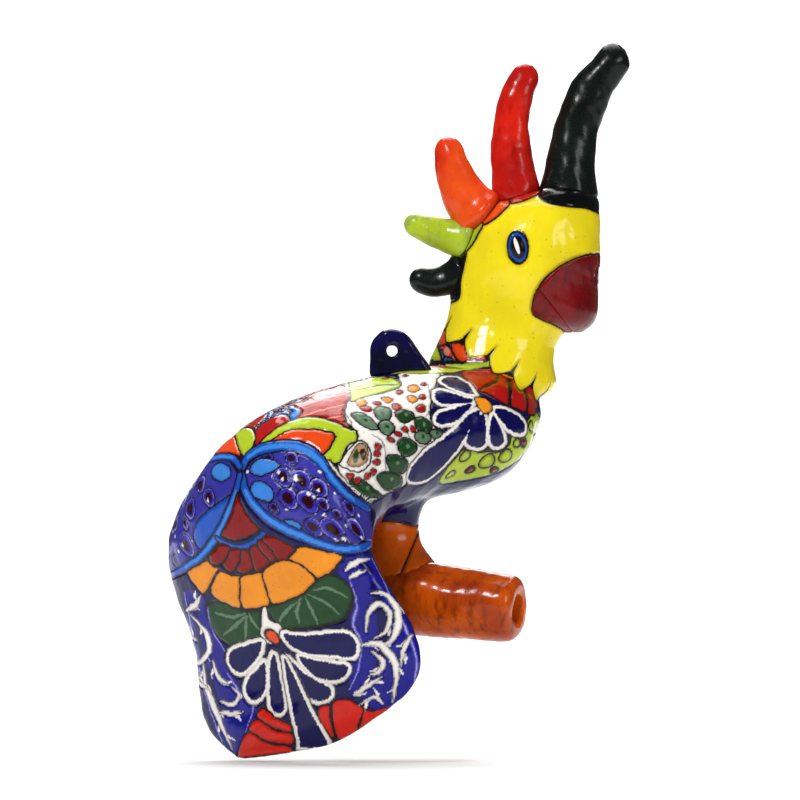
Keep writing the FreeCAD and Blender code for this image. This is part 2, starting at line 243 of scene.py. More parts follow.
points = smoothed(skin.data, points, 0.5 * np.maximum(nearNeck, nearLeg), 60)
points = smoothed(skin.data, points, np.full(len(points), 0.5), 4)
setCoordinates(skin.data, points)
lumps = sum(height * wobble(points, wave, seed) for height, wave, seed in body["lumps"])
points = points + vertexNormals(skin.data) * lumps[:, None]
setCoordinates(skin.data, points)
print("skin vertices", len(points))


# The skin's own chart: s runs along the spine from breast to tail and t round the body from the middle
# of the back, positive to the bird's right. Both are true lengths, so that the painting lies on the form
# as a brush lays it. Each row is a section's x, y and z, its lean, its turn, half its depth and half its
# width.
spineRows = (
    (89, 51, -37, 0, 0, 7, 9),
    (83.5, 48, -37, 0, 0, 16.5, 20.5),
    (75, 43, -38, 0, 0, 25, 32.5),
    (62, 36, -43, 0, 0, 33, 45.5),
    (40, 23, -47, 2, 0, 38, 52.5),
    (12, 7, -51, 6, 0, 40, 54),
    (-14, -8, -58, 19, 8, 41, 55),
    (-38, -22, -67, 41, 18, 44.5, 57),
    (-56, -28, -81, 61, 32, 49, 62.5),
    (-70, -34.5, -102, 78, 45, 43, 71),
    (-73, -37, -122, 87, 52, 31, 75.5),
    (-61, -37, -154, 91, 55, 23, 79.5),
    (-51, -37, -182, 93, 55, 19.5, 82),
    (-51.5, -37, -205, 95, 55, 15.5, 79),
    (-57, -37, -223, 97, 55, 12, 65),
    (-62, -37, -235, 98, 55, 8, 47),
    (-68, -37, -242, 98, 55, 4, 31),
)


def through(padded, steps):
    # a smooth run from the second row to the last but one, each pair of rows cut into steps
    share = np.arange(steps)[:, None] / steps
    parts = []
    for i in range(1, len(padded) - 2):
        a, b, c, d = padded[i - 1:i + 3]
        parts.append(0.5 * (
            2 * b + (c - a) * share + (2 * a - 5 * b + 4 * c - d) * share**2
            + (3 * b - a - 3 * c + d) * share**3
        ))
    return np.vstack(parts)


def throughRows(rows, steps):
    rows = np.array(rows, float)
    padded = np.vstack([2 * rows[0] - rows[1], rows, 2 * rows[-1] - rows[-2]])
    return np.vstack([through(padded, steps), rows[-1:]])


def unit(vectors):
    return vectors / np.linalg.norm(vectors, axis=-1, keepdims=True)


spine = throughRows(spineRows, 12)
centres, lean, turn = spine[:, :3], np.radians(spine[:, 3]), np.radians(spine[:, 4])
halfDeep, halfWide = spine[:, 5], spine[:, 6]
rising = np.stack([-np.sin(lean), np.zeros(len(lean)), np.cos(lean)], axis=1)
right = unit(np.cross(rising, np.gradient(centres, axis=0)))
backs = rising * np.cos(turn)[:, None] + right * np.sin(turn)[:, None]
sides = right * np.cos(turn)[:, None] - rising * np.sin(turn)[:, None]
onwards = np.cross(sides, backs)
ridge = centres + backs * halfDeep[:, None]
spineLength = np.concatenate([[0], np.cumsum(np.linalg.norm(np.diff(ridge, axis=0), axis=1))])
angles = np.linspace(-math.pi, math.pi, 361)
girthSteps = np.sqrt((halfWide[:, None] * np.cos(angles)) ** 2 + (halfDeep[:, None] * np.sin(angles)) ** 2)
girth = np.cumsum(girthSteps, axis=1) * (angles[1] - angles[0])
girth -= girth[:, 180:181]


def charted(where):
    # each point's s and t, and how many millimetres of skin one unit of s covers there
    best = np.full(len(where), 1e9)
    s, t, stretch = np.zeros((3, len(where)))
    ahead = [(where - centres[i]) @ onwards[i] for i in range(len(centres))]
    for i in range(len(centres) - 1):
        reach = ahead[i] - ahead[i + 1]
        share = np.clip(ahead[i] / np.where(np.abs(reach) < 1e-6, 1e-6, reach), 0, 1)
        inside = (ahead[i] >= 0) & (ahead[i + 1] < 0)
        middle = centres[i] + share[:, None] * (centres[i + 1] - centres[i])
        gap = np.linalg.norm(where - middle, axis=1) + np.where(inside, 0, 400)
        gap = gap + np.where(inside, 0, np.minimum(np.abs(ahead[i]), np.abs(ahead[i + 1])))
        chosen = gap < best
        if not chosen.any():
            continue
        best[chosen] = gap[chosen]
        off, part = (where - middle)[chosen], share[chosen]
        wide = halfWide[i] + part * (halfWide[i + 1] - halfWide[i])
        deep = halfDeep[i] + part * (halfDeep[i + 1] - halfDeep[i])
        side = sides[i] + part[:, None] * (sides[i + 1] - sides[i])
        back = backs[i] + part[:, None] * (backs[i + 1] - backs[i])
        angle = np.arctan2((off * side).sum(1) / wide, (off * back).sum(1) / deep)
        s[chosen] = spineLength[i] + part * (spineLength[i + 1] - spineLength[i])
        first = np.interp(angle, angles, girth[i])
        last = np.interp(angle, angles, girth[i + 1])
        t[chosen] = first + part * (last - first)
        run = (
            centres[i + 1] - centres[i]
            + (sides[i + 1] * halfWide[i + 1] - sides[i] * halfWide[i]) * np.sin(angle)[:, None]
            + (backs[i + 1] * halfDeep[i + 1] - backs[i] * halfDeep[i]) * np.cos(angle)[:, None]
        )
        stretch[chosen] = np.linalg.norm(run, axis=1) / (spineLength[i + 1] - spineLength[i])
    return s, t, np.clip(stretch, 0.3, 2.0)


s, t, stretch = charted(points)
print("chart", round(s.max()), "long, round", round(t.min()), round(t.max()))

# The skin that shows from the side, as a tree of x and z: it faces that way with nothing before it.
normals = vertexNormals(skin.data)
columns = np.floor(points[:, 0] / 4).astype(int) + 60
levels = np.floor(points[:, 2] / 4).astype(int) + 80
foremost = np.full((120, 140), 1e9)
np.minimum.at(foremost, (columns, levels), points[:, 1])
seen = np.nonzero((normals[:, 1] < -0.02) & (points[:, 1] < foremost[columns, levels] + 9))[0]
sideTree = KDTree(len(seen))
for number, (x, _, z) in zip(seen.tolist(), points[seen].tolist()):
    sideTree.insert((x, 0, z), number)
sideTree.balance()


def mark(x, z):
    # the skin vertex seen at x and z from the side, or the closest one to it
    return sideTree.find((x, 0, z))[1]


def spread(outline, closed=True, steps=6):
    # a smooth line through a few points
    if not closed:
        return throughRows(outline, steps)
    outline = np.array(outline, float)
    return through(np.vstack([outline[-1:], outline, outline[:2]]), steps)


# Every motif is laid over what is already there. The skin keeps its colour and its distance from the
# nearest dark outline; the glaze pools between the outlines and stays thin over them.

colour = np.tile(glaze["navy"], (len(points), 1))
gap = np.full(len(points), 30.0)
mirrored = {"on": True}  # whether a motif is laid on both sides of the bird


def chartPoints(scale, chosen=slice(None)):
    # the skin's chart in true millimetres about a motif, whose own stretch is the scale
    return np.stack([s[chosen] * scale, np.abs(t[chosen]) if mirrored["on"] else t[chosen]], axis=1)


def lay(where, distance, fill, edge):
    # fills a motif and draws its outline, edge being half the line's width
    inside = distance < 0
    chosen = where[inside]
    colour[chosen] = glaze[fill] if isinstance(fill, str) else fill
    if edge is None:
        return
    gap[chosen] = 30.0
    gap[where] = np.minimum(gap[where], np.abs(distance) - edge)


def segmentsDistance(cloud, line, closed):
    ends = np.roll(line, -1, axis=0) if closed else line[1:]
    starts = line if closed else line[:-1]
    best = np.full(len(cloud), 1e9)
    share = np.zeros(len(cloud))
    crossings = np.zeros(len(cloud), int)
    total = max(len(starts), 1)
    for i, (a, b) in enumerate(zip(starts, ends)):
        run = b - a
        along = np.clip(((cloud - a) @ run) / max(run @ run, 1e-9), 0, 1)
        away = np.hypot(*(cloud - a - along[:, None] * run).T)
        nearer = away < best
        best[nearer] = away[nearer]
        share[nearer] = ((i + along) / total)[nearer]
        if closed:
            above = (a[1] > cloud[:, 1]) != (b[1] > cloud[:, 1])
            height = b[1] - a[1] if abs(b[1] - a[1]) > 1e-9 else 1e-9
            crossings += above & (cloud[:, 0] < a[0] + (cloud[:, 1] - a[1]) * run[0] / height)
    return best, share, crossings % 2 == 1


def onSkin(line, scale=None):
    # a side-view line as chart points, with the mean stretch along it unless the scale is given
    found = [mark(x, z) for x, z in line]
    if scale is None:
        scale = float(np.mean(stretch[found]))
    return chartPoints(scale, found), scale


def closeBy(cloud, line, margin):
    low, high = line.min(0) - margin, line.max(0) + margin
    return np.nonzero(((cloud > low) & (cloud < high)).all(1) & allowed)[0]


allowed = np.ones(len(points), bool)


def patch(outline, fill, edge=0.5, ridge=None, sharp=False):
    # a closed shape given by its side-view outline; one that reaches the ridge is carried over it
    line = np.array(outline, float) if sharp else spread(outline)
    line, scale = onSkin(line)
    if ridge is not None:
        line[:, 1] = np.where(line[:, 1] < ridge, -9, line[:, 1])
    cloud = chartPoints(scale)
    where = closeBy(cloud, line, 6)
    distance, _, inside = segmentsDistance(cloud[where], line, True)
    lay(where, np.where(inside, -distance, distance), fill, edge)


def stroke(path, widths, fill, edge=None, rim=None, rimWidth=1.6):
    # a brush stroke along a side-view path; widths are half widths from its start to its end
    line, scale = onSkin(spread(path, closed=False, steps=5))
    cloud = chartPoints(scale)
    where = closeBy(cloud, line, max(widths) + 6)
    away, share, _ = segmentsDistance(cloud[where], line, False)
    half = np.interp(share, np.linspace(0, 1, len(widths)), widths)
    if rim is None:
        lay(where, away - half, fill, edge)
    else:
        lay(where, away - half - rimWidth, rim, edge)
        lay(where, away - half, fill, None)


def dots(places, radius, fill, edge=None, rim=None, rimWidth=1.2):
    for number, (x, z) in enumerate(places):
        line, scale = onSkin([(x, z)])
        cloud = chartPoints(scale)
        where = closeBy(cloud, line, radius + 5)
        off = cloud[where] - line[0]
        bearing = np.arctan2(off[:, 1], off[:, 0])
        away = np.hypot(off[:, 0], off[:, 1]) - radius * (
            1 + 0.1 * np.sin(2 * bearing + number) + 0.06 * np.sin(3 * bearing + 2 * number)
        )
        if rim is None:
            lay(where, away, fill, edge)
        else:
            lay(where, away - rimWidth, rim, edge)
            lay(where, away, fill, None)


def bloom(petals, fill, rim, rimWidth, edge=0.4):
    # petals that share one pale rim, with a dark line only round the whole flower
    every = np.concatenate([spread(petal) for petal in petals])
    whole, scale = onSkin(every)
    cloud = chartPoints(scale)
    where = closeBy(cloud, whole, rimWidth + 5)
    distance = np.full(len(where), 1e9)
    for petal in petals:
        line, _ = onSkin(spread(petal), scale)
        away, _, inside = segmentsDistance(cloud[where], line, True)
        distance = np.minimum(distance, np.where(inside, -away, away))
    lay(where, distance - rimWidth, rim, edge)
    lay(where, distance, fill, None)


def freckles(outline, count, radii, fill, edge, seed, rim=None):
    # small blots scattered inside an outline
    dice = np.random.default_rng(seed)
    line = np.array(outline, float)
    low, high = line.min(0), line.max(0)
    found = []
    for _ in range(count * 30):
        spot = dice.uniform(low, high)
        _, _, inside = segmentsDistance(spot[None], line, True)
        if inside[0] and all(math.dist(spot, other) > 2.6 * radii[1] for other in found):
            found.append(spot)
        if len(found) == count:
            break
    for spot in found:
        dots([spot], dice.uniform(*radii), fill, edge, rim)


# The back and shoulder, the same on both sides. Outlines are x and z in millimetres, from the right.
allowed = (points - neckPoint) @ neckWay <= 0
patch([
    (-25.5, -11.5), (-43.5, -17.5), (-55.5, -21), (-73.5, -27), (-86, -34.5), (-92, -40.5), (-88, -49),
    (-83.5, -55.5), (-79.5, -58.5), (-70.5, -51.5), (-61.5, -44.5), (-52.5, -41), (-44.5, -41),
    (-34.5, -43), (-25.5, -46.5), (-24, -31),
], "red", ridge=16)
for number in range(8):
    shift = np.array([0, 4 - 3.2 * number])
    shade = "blush" if number % 2 else "maroon"
    stroke([(-27, -20), (-43.5, -24), (-61.5, -31), (-77.5, -41.5)] + shift, (0.3, 0.8, 0.3), shade)
patch([
    (5, -13.5), (17, -9), (20, -3), (33, 12.5), (47, 6.5), (60.5, -0.5), (65, -6.5), (53, -9), (35, -10.5),
    (21.5, -11.5),
], "orange", ridge=16)
freckles([(19.5, -9), (29, 9), (42.5, 3.5), (55.5, -8), (35, -9)], 14, (1.0, 1.8), "blush", None, 5)
patch([(36, 5), (46, 3), (49.5, -5.5), (40, -6.5)], "orange", 0.4)
patch([(29.5, -6), (33, -3.5), (37, -5.5), (33, -8)], "sky", 0.3)
patch([
    (-26.5, -31), (-18, -27), (-4, -23.5), (5, -20), (3.5, -14), (14, -12.5), (29, -12.5), (26.5, -20.5),
    (24, -29.5), (23, -38.5), (25, -44.5), (29, -52), (17, -63), (9.5, -72), (8, -80.5), (-4, -86),
    (-12, -90), (-22.5, -84), (-32.5, -68.5), (-25.5, -54), (-21.5, -49), (-28, -41.5),
], "white")
patch([
    (-27, -21), (-24, -17.5), (-16.5, -16.5), (-4, -15.5), (3, -17.5), (5.5, -21), (-1, -24),
    (-10.5, -26.5), (-18, -28.5), (-24, -31), (-25, -26),
], "lime")
stroke([(-25.5, -24), (-16.5, -22.5), (-6, -20.5), (3, -20.5)], (0.5, 1.1, 0.6), "green", None)

blobs = (
    ([(-23, -38.5), (-18, -38), (-12, -41.5), (-9.5, -46.5), (-14.5, -46), (-20.5, -42.5)], "sage"),
    ([(-9.5, -35), (-5.5, -34), (-1, -36), (-2.5, -41.5), (-6.5, -41.5), (-9.5, -38.5)], "sage"),
    ([(2.5, -37.5), (7, -36), (12.5, -38.5), (11, -41.5), (6, -42.5)], "green"),
    ([(-7, -43.5), (-2.5, -42.5), (1, -46), (-2, -50), (-6, -48.5)], "sage"),
    ([(14.5, -41), (19.5, -41), (23.5, -45.5), (20.5, -49), (15.5, -46.5)], "green"),
    ([(14.5, -50), (18.5, -48.5), (23, -52), (20, -55.5), (15.5, -54)], "sage"),
    ([(23, -48.5), (27, -47.5), (30, -50), (26.5, -53)], "sage"),
    ([(4, -55.5), (8.5, -53), (14, -57), (12, -61.5), (6.5, -62)], "green"),
    ([(-2.5, -64.5), (2.5, -63), (8.5, -66.5), (7, -72), (0.5, -72.5)], "green"),
    ([(-8, -75.5), (-1, -73), (5, -76), (4, -81), (-3.5, -82.5)], "green"),
    ([(-24, -79), (-18, -78), (-10.5, -83.5), (-7, -87), (-15.5, -86.5)], "green"),
)
for outline, shade in blobs:
    heart = np.mean(outline, axis=0)
    patch(heart + (np.array(outline) - heart) * 1.16, shade, 0.45)
    dots([heart + (0.6, 0.5)], 1.3, "sage" if shade == "green" else "green")
for outline in ([(10.5, -21), (14, -20.5), (17, -23), (13.5, -25), (9.5, -23.5)],
    [(-6.5, -28.5), (-2.5, -28), (1, -29.5), (-2.5, -31.5)],
    [(9, -28), (12.5, -27), (15.5, -29.5), (12, -31.5)],
    [(-21.5, -30), (-17, -29), (-15, -32), (-19.5, -34)]):
    patch(outline, "apricot", 0.25)
for path in ([(-28, -38), (-24, -44), (-25.5, -54)], [(-12, -50), (-5, -56), (-3.5, -72)],
    [(7, -44), (12, -54), (19.5, -58.5)], [(21.5, -20), (24, -32), (20.5, -39.5)]):
    stroke(path, (0.3, 0.5, 0.3), "slate", None)
for places, radius in (
    ([(8, -15), (19.5, -20), (-3.5, -16.5)], 1.8), ([(5, -25), (18.5, -28), (-8.5, -32)], 2.3), ([
        (3, -34), (17.5, -34.5), (-15, -35),
    ], 3.2),
    ([(12.5, -47), (8, -47.5), (3.5, -50), (-0.5, -53)], 2.1), ([
        (-8.5, -57.5), (-8.5, -61.5), (-9, -66.5),
    ], 2.2),
    ([(-11, -72.5), (-15, -75.5), (-20.5, -77.5), (-25.5, -75.5)], 2.3),
):
    dots(places, radius, "red", 0.3)
patch([
    (-31.5, -67.5), (-25.5, -59), (-20, -54), (-15, -56), (-12.5, -63), (-14.5, -69.5), (-20.5, -72.5),
    (-27, -70.5),
], "white", 0.4)
patch([(-26.5, -67.5), (-23, -59), (-18.5, -55.5), (-14.5, -59), (-15, -66), (-20.5, -69.5)], "tan", 0.25)
patch([(-23.5, -66.5), (-23, -61), (-20.5, -58.5), (-19.5, -63.5), (-21, -67.5)], "green", None)
patch([(-18.5, -65), (-19.5, -60), (-17, -58), (-15, -61.5), (-16.5, -66)], "umber", None)

# lime breast with its red berries
patch([
    (28, -79), (36, -67), (44.5, -58.5), (52, -61), (59, -60.5), (64, -61), (70, -57.5), (72.5, -51.5),
    (79.5, -50), (82, -41.5), (86, -37), (90, -40.5), (89.5, -47.5), (83.5, -57.5), (78.5, -64), (70, -70),
    (59, -75), (47, -77.5), (38, -79),
], "lime")
for place, radius in zip([
    (57, -66.5), (68.5, -63.5), (75, -55.5), (44, -63.5), (84, -45.5), (35, -74.5),
], (5.4, 4.8, 2.8, 3.8, 3.2, 3.2)):
    dots([place], radius, "olive", 0.5)
    dots([place], radius * 0.55, "lime")
dots([(47, -71.5), (79, -55.5), (61.5, -72)], 2.8, "maroon", 0.9)

# red fan over the shoulder
for outline in (
    [
        (41.5, -11.5), (52, -10.5), (61.5, -9.5), (64, -12.5), (63, -17.5), (57.5, -20.5), (51.5, -24),
        (46.5, -19.5),
    ],
    [
        (52.5, -24), (58, -21), (63.5, -18), (65, -12), (69.5, -15), (70.5, -22.5), (70, -32.5),
        (64.5, -30), (58.5, -26.5),
    ],
    [
        (71.5, -32.5), (72, -22.5), (72, -15.5), (77.5, -17.5), (79.5, -23.5), (81.5, -31), (80.5, -37),
        (75.5, -35),
    ],
    [(82, -37.5), (82, -29.5), (80.5, -21), (83.5, -18.5), (87.5, -24), (88, -32), (86, -38.5)],
):
    patch(outline, "red")
patch([(88, -19.5), (91, -15), (93, -22.5), (91, -31), (88, -29.5)], "navy", 0.4)
patch([
    (-17.5, -13.5), (-7, -9.5), (5, -8), (20, -7), (35, -7), (50, -6.5), (60.5, -5.5), (61, -9.5),
    (47, -11.5), (29, -13.5), (11, -13.5), (-4, -12.5),
], "lime")
stroke([(60.5, -9), (66.5, -13.5), (72.5, -16.5), (77.5, -15.5)], (0.7, 0.9, 1.0), "apricot", 0.3)
patch([(75.5, -16.5), (76, -11.5), (79.5, -9), (82, -12.5), (80.5, -17)], "orange", 0.3)

# shoulder flower
bloom((
    [
        (29.5, -18), (34, -15.5), (40, -16.5), (46, -20), (49.5, -25), (49.5, -26.5), (42.5, -25),
        (34, -21.5),
    ],
    [
        (25.5, -27), (26.5, -24), (31.5, -24), (38, -26), (44.5, -28), (49, -29), (47, -31.5), (38, -32),
        (30, -32), (26.5, -30),
    ],
    [
        (26, -40.5), (29, -37), (36, -35), (43.5, -32.5), (48.5, -32), (44.5, -37), (38.5, -42.5),
        (32, -44.5), (27, -43.5),
    ],
    [
        (9.5, -76.5), (12, -69.5), (19.5, -61), (29, -54), (38, -46.5), (46, -38.5), (52, -35.5),
        (53, -38), (47, -47.5), (40, -58.5), (32.5, -67.5), (26.5, -73.5), (19.5, -78), (12.5, -79),
    ],
    [
        (44.5, -54.5), (47, -46.5), (50.5, -40.5), (55, -37.5), (56, -40.5), (57, -49), (56, -56),
        (52.5, -58.5), (47, -57.5),
    ],
    [
        (59, -54.5), (58.5, -47.5), (60, -39.5), (61.5, -38.5), (64.5, -44), (67.5, -51.5), (67, -56),
        (63.5, -58), (60, -57),
    ],
    [
        (61.5, -36), (65, -34.5), (72.5, -37), (78.5, -41.5), (80.5, -46.5), (78, -50), (72.5, -49),
        (67, -44),
    ],
), "navy", "white", 2.3)
patch([(50, -28), (56, -28.5), (60, -32), (60, -36), (55.5, -38), (51.5, -33)], "apricot", 0.35)

# rump and tail
patch([
    (-83.5, -44), (-77.5, -38), (-70, -34.5), (-61.5, -33), (-58, -34), (-54.5, -36), (-58, -41.5),
    (-62, -42.5), (-61.5, -37), (-67.5, -37), (-75, -40.5), (-81, -45.5),
], "sky", 0.4)
patch([
    (-82, -48.5), (-76, -42.5), (-67.5, -38.5), (-62, -39.5), (-61.5, -42.5), (-67.5, -45.5), (-76, -52.5),
    (-81.5, -57.5),
], "red")
patch([
    (-81.5, -61), (-78.5, -54.5), (-70.5, -47.5), (-61.5, -42.5), (-52.5, -40), (-44.5, -40),
    (-34.5, -42.5), (-25.5, -47), (-21, -48.5), (-21, -54), (-25.5, -56), (-28.5, -61), (-31.5, -67),
    (-37.5, -67), (-44.5, -67), (-55.5, -61), (-67.5, -58.5),
], "lime")
patch([
    (-77.5, -57.5), (-69, -51.5), (-60.5, -47.5), (-52.5, -47), (-43.5, -47.5), (-34.5, -50), (-35.5, -55),
    (-38.5, -60), (-43.5, -64), (-48.5, -61), (-55.5, -58), (-64.5, -56), (-72.5, -58),
], "orange")
stroke([(-37.5, -66.5), (-30, -76), (-21.5, -84.5), (-12, -91)], (0.8, 1.1, 0.9), "white", 0.35)

mirrored["on"] = False
patch([(-96.5, -49), (-90, -46), (-83.5, -47.5), (-82, -54), (-87.5, -63), (-92, -59)], "lime")
patch([
    (-112.5, -64.5), (-107.5, -58.5), (-101.5, -53), (-95.5, -50), (-92, -58.5), (-90.5, -63.5),
    (-96.5, -61.5), (-105, -62),
], "orange")

rightLobe = [
    (-88, -72), (-82, -64.5), (-72.5, -60.5), (-61.5, -60), (-52, -63), (-43.5, -69.5), (-35.5, -78.5),
    (-28, -86.5), (-15.5, -92.5), (-12, -103.5), (-12, -115.5), (-24, -117), (-37.5, -115.5),
    (-49.5, -110.5), (-60.5, -105.5), (-70, -99.5), (-78.5, -93.5), (-86, -85), (-89.5, -78),
]
leftLobe = [
    (-93, -72), (-99, -65), (-107, -64.5), (-114, -69.5), (-121, -76.5), (-128, -86.5), (-134, -99),
    (-136.5, -114), (-135.5, -126), (-131.5, -134.5), (-122, -128.5), (-116, -121.5), (-111, -117),
    (-104, -105.5), (-98, -95), (-93, -79),
]
for outline in (rightLobe, leftLobe):
    patch(outline, "iris")
cells = (
    ([(-60, -64)], 3.4), ([(-65, -75.5)], 4.6), ([(-54, -77.5)], 5), ([(-43.5, -82)], 4.3), ([
        (-62, -88),
    ], 4.8),
    ([(-50.5, -90)], 5.2), ([(-41, -92)], 3.2), ([(-47, -105)], 4.2), ([(-35.5, -107)], 5.6), ([
        (-21.5, -106.5),
    ], 4.6),
    ([(-25.5, -93.5)], 3.6), ([(-70.5, -94)], 2.6), ([(-33, -98)], 2.4), ([(-28, -114)], 2.4), ([
        (-74.5, -64.5),
    ], 3),
    ([(-115, -80.5)], 4.2), ([(-110, -88)], 4.2), ([(-121.5, -95)], 5), ([(-127.5, -86)], 3.2), ([
        (-130.5, -103.5),
    ], 4),
    ([(-124, -117)], 5.2), ([(-130.5, -126)], 3.6), ([(-116, -70)], 2.6), ([(-124.5, -104.5)], 2.8),
)
for place, radius in cells:
    dots(np.array(place) + (0.2, 0.3), radius * 1.34, "lavender", 0.4)
    dots(place, radius * 1.16, "violet", None)
    dots(place, radius * 0.74, "plum", None)
freckles(rightLobe, 26, (0.7, 1.1), "white", None, 9)
freckles(leftLobe, 14, (0.7, 1.1), "white", None, 8)
for outline in (
    [(-84.5, -69.5), (-79.5, -65), (-72.5, -65), (-67, -68.5), (-71.5, -72.5), (-78.5, -75), (-84, -73.5)],
    [(-84.5, -82), (-81, -78), (-75, -79.5), (-70.5, -84.5), (-72, -90), (-78, -89.5), (-83.5, -86.5)],
    [(-108.5, -72), (-104, -67.5), (-98, -69), (-96.5, -74.5), (-101.5, -78.5), (-107, -76.5)],
    [(-65, -102.5), (-60.5, -100.5), (-54, -104), (-55.5, -107.5), (-61.5, -107)],
):
    patch(outline, "sky", 0.4)
patch([
    (-96, -86.5), (-99, -96), (-102.5, -105), (-105, -113), (-109.5, -118.5), (-114, -120), (-118, -115),
    (-119, -107), (-115.5, -100.5), (-108, -94), (-101.5, -89.5),
], "cobalt", 0.4)
bands = (
    ([
        (-90, -70.5), (-86, -63.5), (-77.5, -58.5), (-66.5, -57), (-55.5, -58), (-46.5, -63), (-38.5, -72),
        (-31.5, -81.5), (-23, -89), (-14.5, -94),
    ], (2.4, 3.8, 3.8, 4.2, 4.0)),
    ([
        (-90, -74.5), (-87.5, -84), (-81, -94), (-71.5, -102), (-59, -108.5), (-46, -114), (-32.5, -118),
        (-21.5, -118), (-12, -116),
    ], (2.6, 3.4, 3.8, 3.6, 3)),
    ([
        (-91, -69.5), (-95.5, -64.5), (-101.5, -63.5), (-108, -65), (-114, -69), (-121, -73.5),
    ], (2.2, 2.8, 2.4)),
    ([
        (-91, -74.5), (-93.5, -85), (-99, -98.5), (-105.5, -111.5), (-114, -122.5), (-124.5, -130.5),
        (-133, -134.5),
    ], (2.2, 2.6, 2.8, 2.4)),
)
for path, widths in bands:
    stroke(path, widths, "cobalt", 0.45)
# a lighter sky-blue stripe down the middle of each band: a painted highlight
for path, widths in bands:
    stroke(path[1:-1], tuple(0.42 * w for w in widths), "sky")
patch([
    (-92.5, -85), (-90.5, -90), (-87, -97), (-82, -103.5), (-79, -107), (-85, -111), (-92, -113.5),
    (-98, -113), (-102, -110), (-99, -103.5), (-95, -94),
], "maroon")
stroke([
    (-104.5, -112.5), (-98, -116), (-91, -118), (-83.5, -115), (-76.5, -109.5),
], (1.8, 2.4, 1.8), "cobalt", 0.4)
for outline in (
    [
        (-102.5, -115.5), (-96.5, -118), (-98.5, -123), (-102.5, -128), (-108, -128), (-110, -124),
        (-106.5, -119),
    ],
    [
        (-96.5, -118.5), (-90, -119.5), (-91, -126), (-95, -132.5), (-99.5, -131.5), (-101.5, -127.5),
        (-98.5, -124),
    ],
    [
        (-90, -119.5), (-86, -119.5), (-82.5, -126), (-84.5, -132.5), (-89.5, -133.5), (-93, -131),
        (-91, -126),
    ],
    [(-85, -119), (-81, -116.5), (-72.5, -125), (-75, -129.5), (-81, -132.5), (-83.5, -127.5)],
    [(-80.5, -116), (-77.5, -113), (-70, -119), (-67, -124), (-72, -126)],
    [
        (-77.5, -112.5), (-72.5, -110.5), (-64.5, -114), (-57, -119), (-60, -124.5), (-67, -125.5),
        (-72.5, -118.5),
    ],
):
    patch(outline, "maroon")
for outline in (
    [
        (-123, -133.5), (-116, -128.5), (-111, -126), (-107.5, -129.5), (-104, -131), (-107.5, -137),
        (-112.5, -146), (-117, -143),
    ],
    [
        (-103.5, -132.5), (-96.5, -134.5), (-90.5, -135.5), (-90.5, -144.5), (-91, -154.5), (-99, -153),
        (-108.5, -146), (-107.5, -138.5),
    ],
    [
        (-90.5, -135.5), (-83.5, -133.5), (-77.5, -133), (-76, -141.5), (-73, -151.5), (-78.5, -154),
        (-88, -155), (-91, -150.5), (-91, -141.5),
    ],
    [
        (-77.5, -133), (-71.5, -127.5), (-64.5, -125), (-55.5, -127.5), (-48.5, -133), (-45.5, -138.5),
        (-52.5, -145), (-60.5, -149), (-67.5, -151.5), (-72.5, -151), (-75.5, -141.5),
    ],
    [
        (-61.5, -124.5), (-58, -120), (-54.5, -117), (-43.5, -119), (-29.5, -122.5), (-32.5, -128),
        (-37.5, -134), (-43.5, -136.5), (-47.5, -133.5), (-54.5, -128),
    ],
):
    patch(outline, "apricot")
for outline, veins in (
    ([
        (-46, -138.5), (-37.5, -133.5), (-28.5, -137.5), (-23.5, -145.5), (-25, -154), (-29, -160.5),
        (-36, -163.5), (-46, -165.5), (-55.5, -166.5), (-64.5, -166.5), (-70, -162.5), (-75, -154),
        (-67.5, -151.5), (-60.5, -149), (-52.5, -145),
    ],
     ([(-55.5, -163.5), (-57, -156.5), (-54.5, -148)], [(-44.5, -163.5), (-48.5, -154), (-52, -147)],
         [(-31.5, -157.5), (-40, -150.5), (-50.5, -145.5)], [(-26.5, -147), (-37.5, -142), (-47, -143)],
         [(-67.5, -162.5), (-64, -156.5), (-57, -150.5)])),
    ([
        (-111, -153), (-102.5, -151), (-94, -154.5), (-87, -156.5), (-78.5, -156), (-76.5, -161.5),
        (-76, -168.5), (-78.5, -174), (-87, -177.5), (-96.5, -178), (-104, -172.5), (-110, -163.5),
    ],
     ([(-106.5, -157.5), (-96.5, -160), (-88, -157.5)], [(-101.5, -171), (-94, -165), (-88, -159)],
         [(-88, -174.5), (-88, -166), (-87, -159)], [(-79.5, -167.5), (-83.5, -162.5), (-86, -157.5)])),
):
    patch(outline, "green")
    for vein in veins:
        stroke(vein, (0.5, 1.2, 0.3), "sage")
patch([
    (-77.5, -154), (-75, -154), (-73, -161.5), (-67.5, -163.5), (-65, -169.5), (-71.5, -176),
    (-78.5, -172), (-78.5, -163.5),
], "white", 0.35)

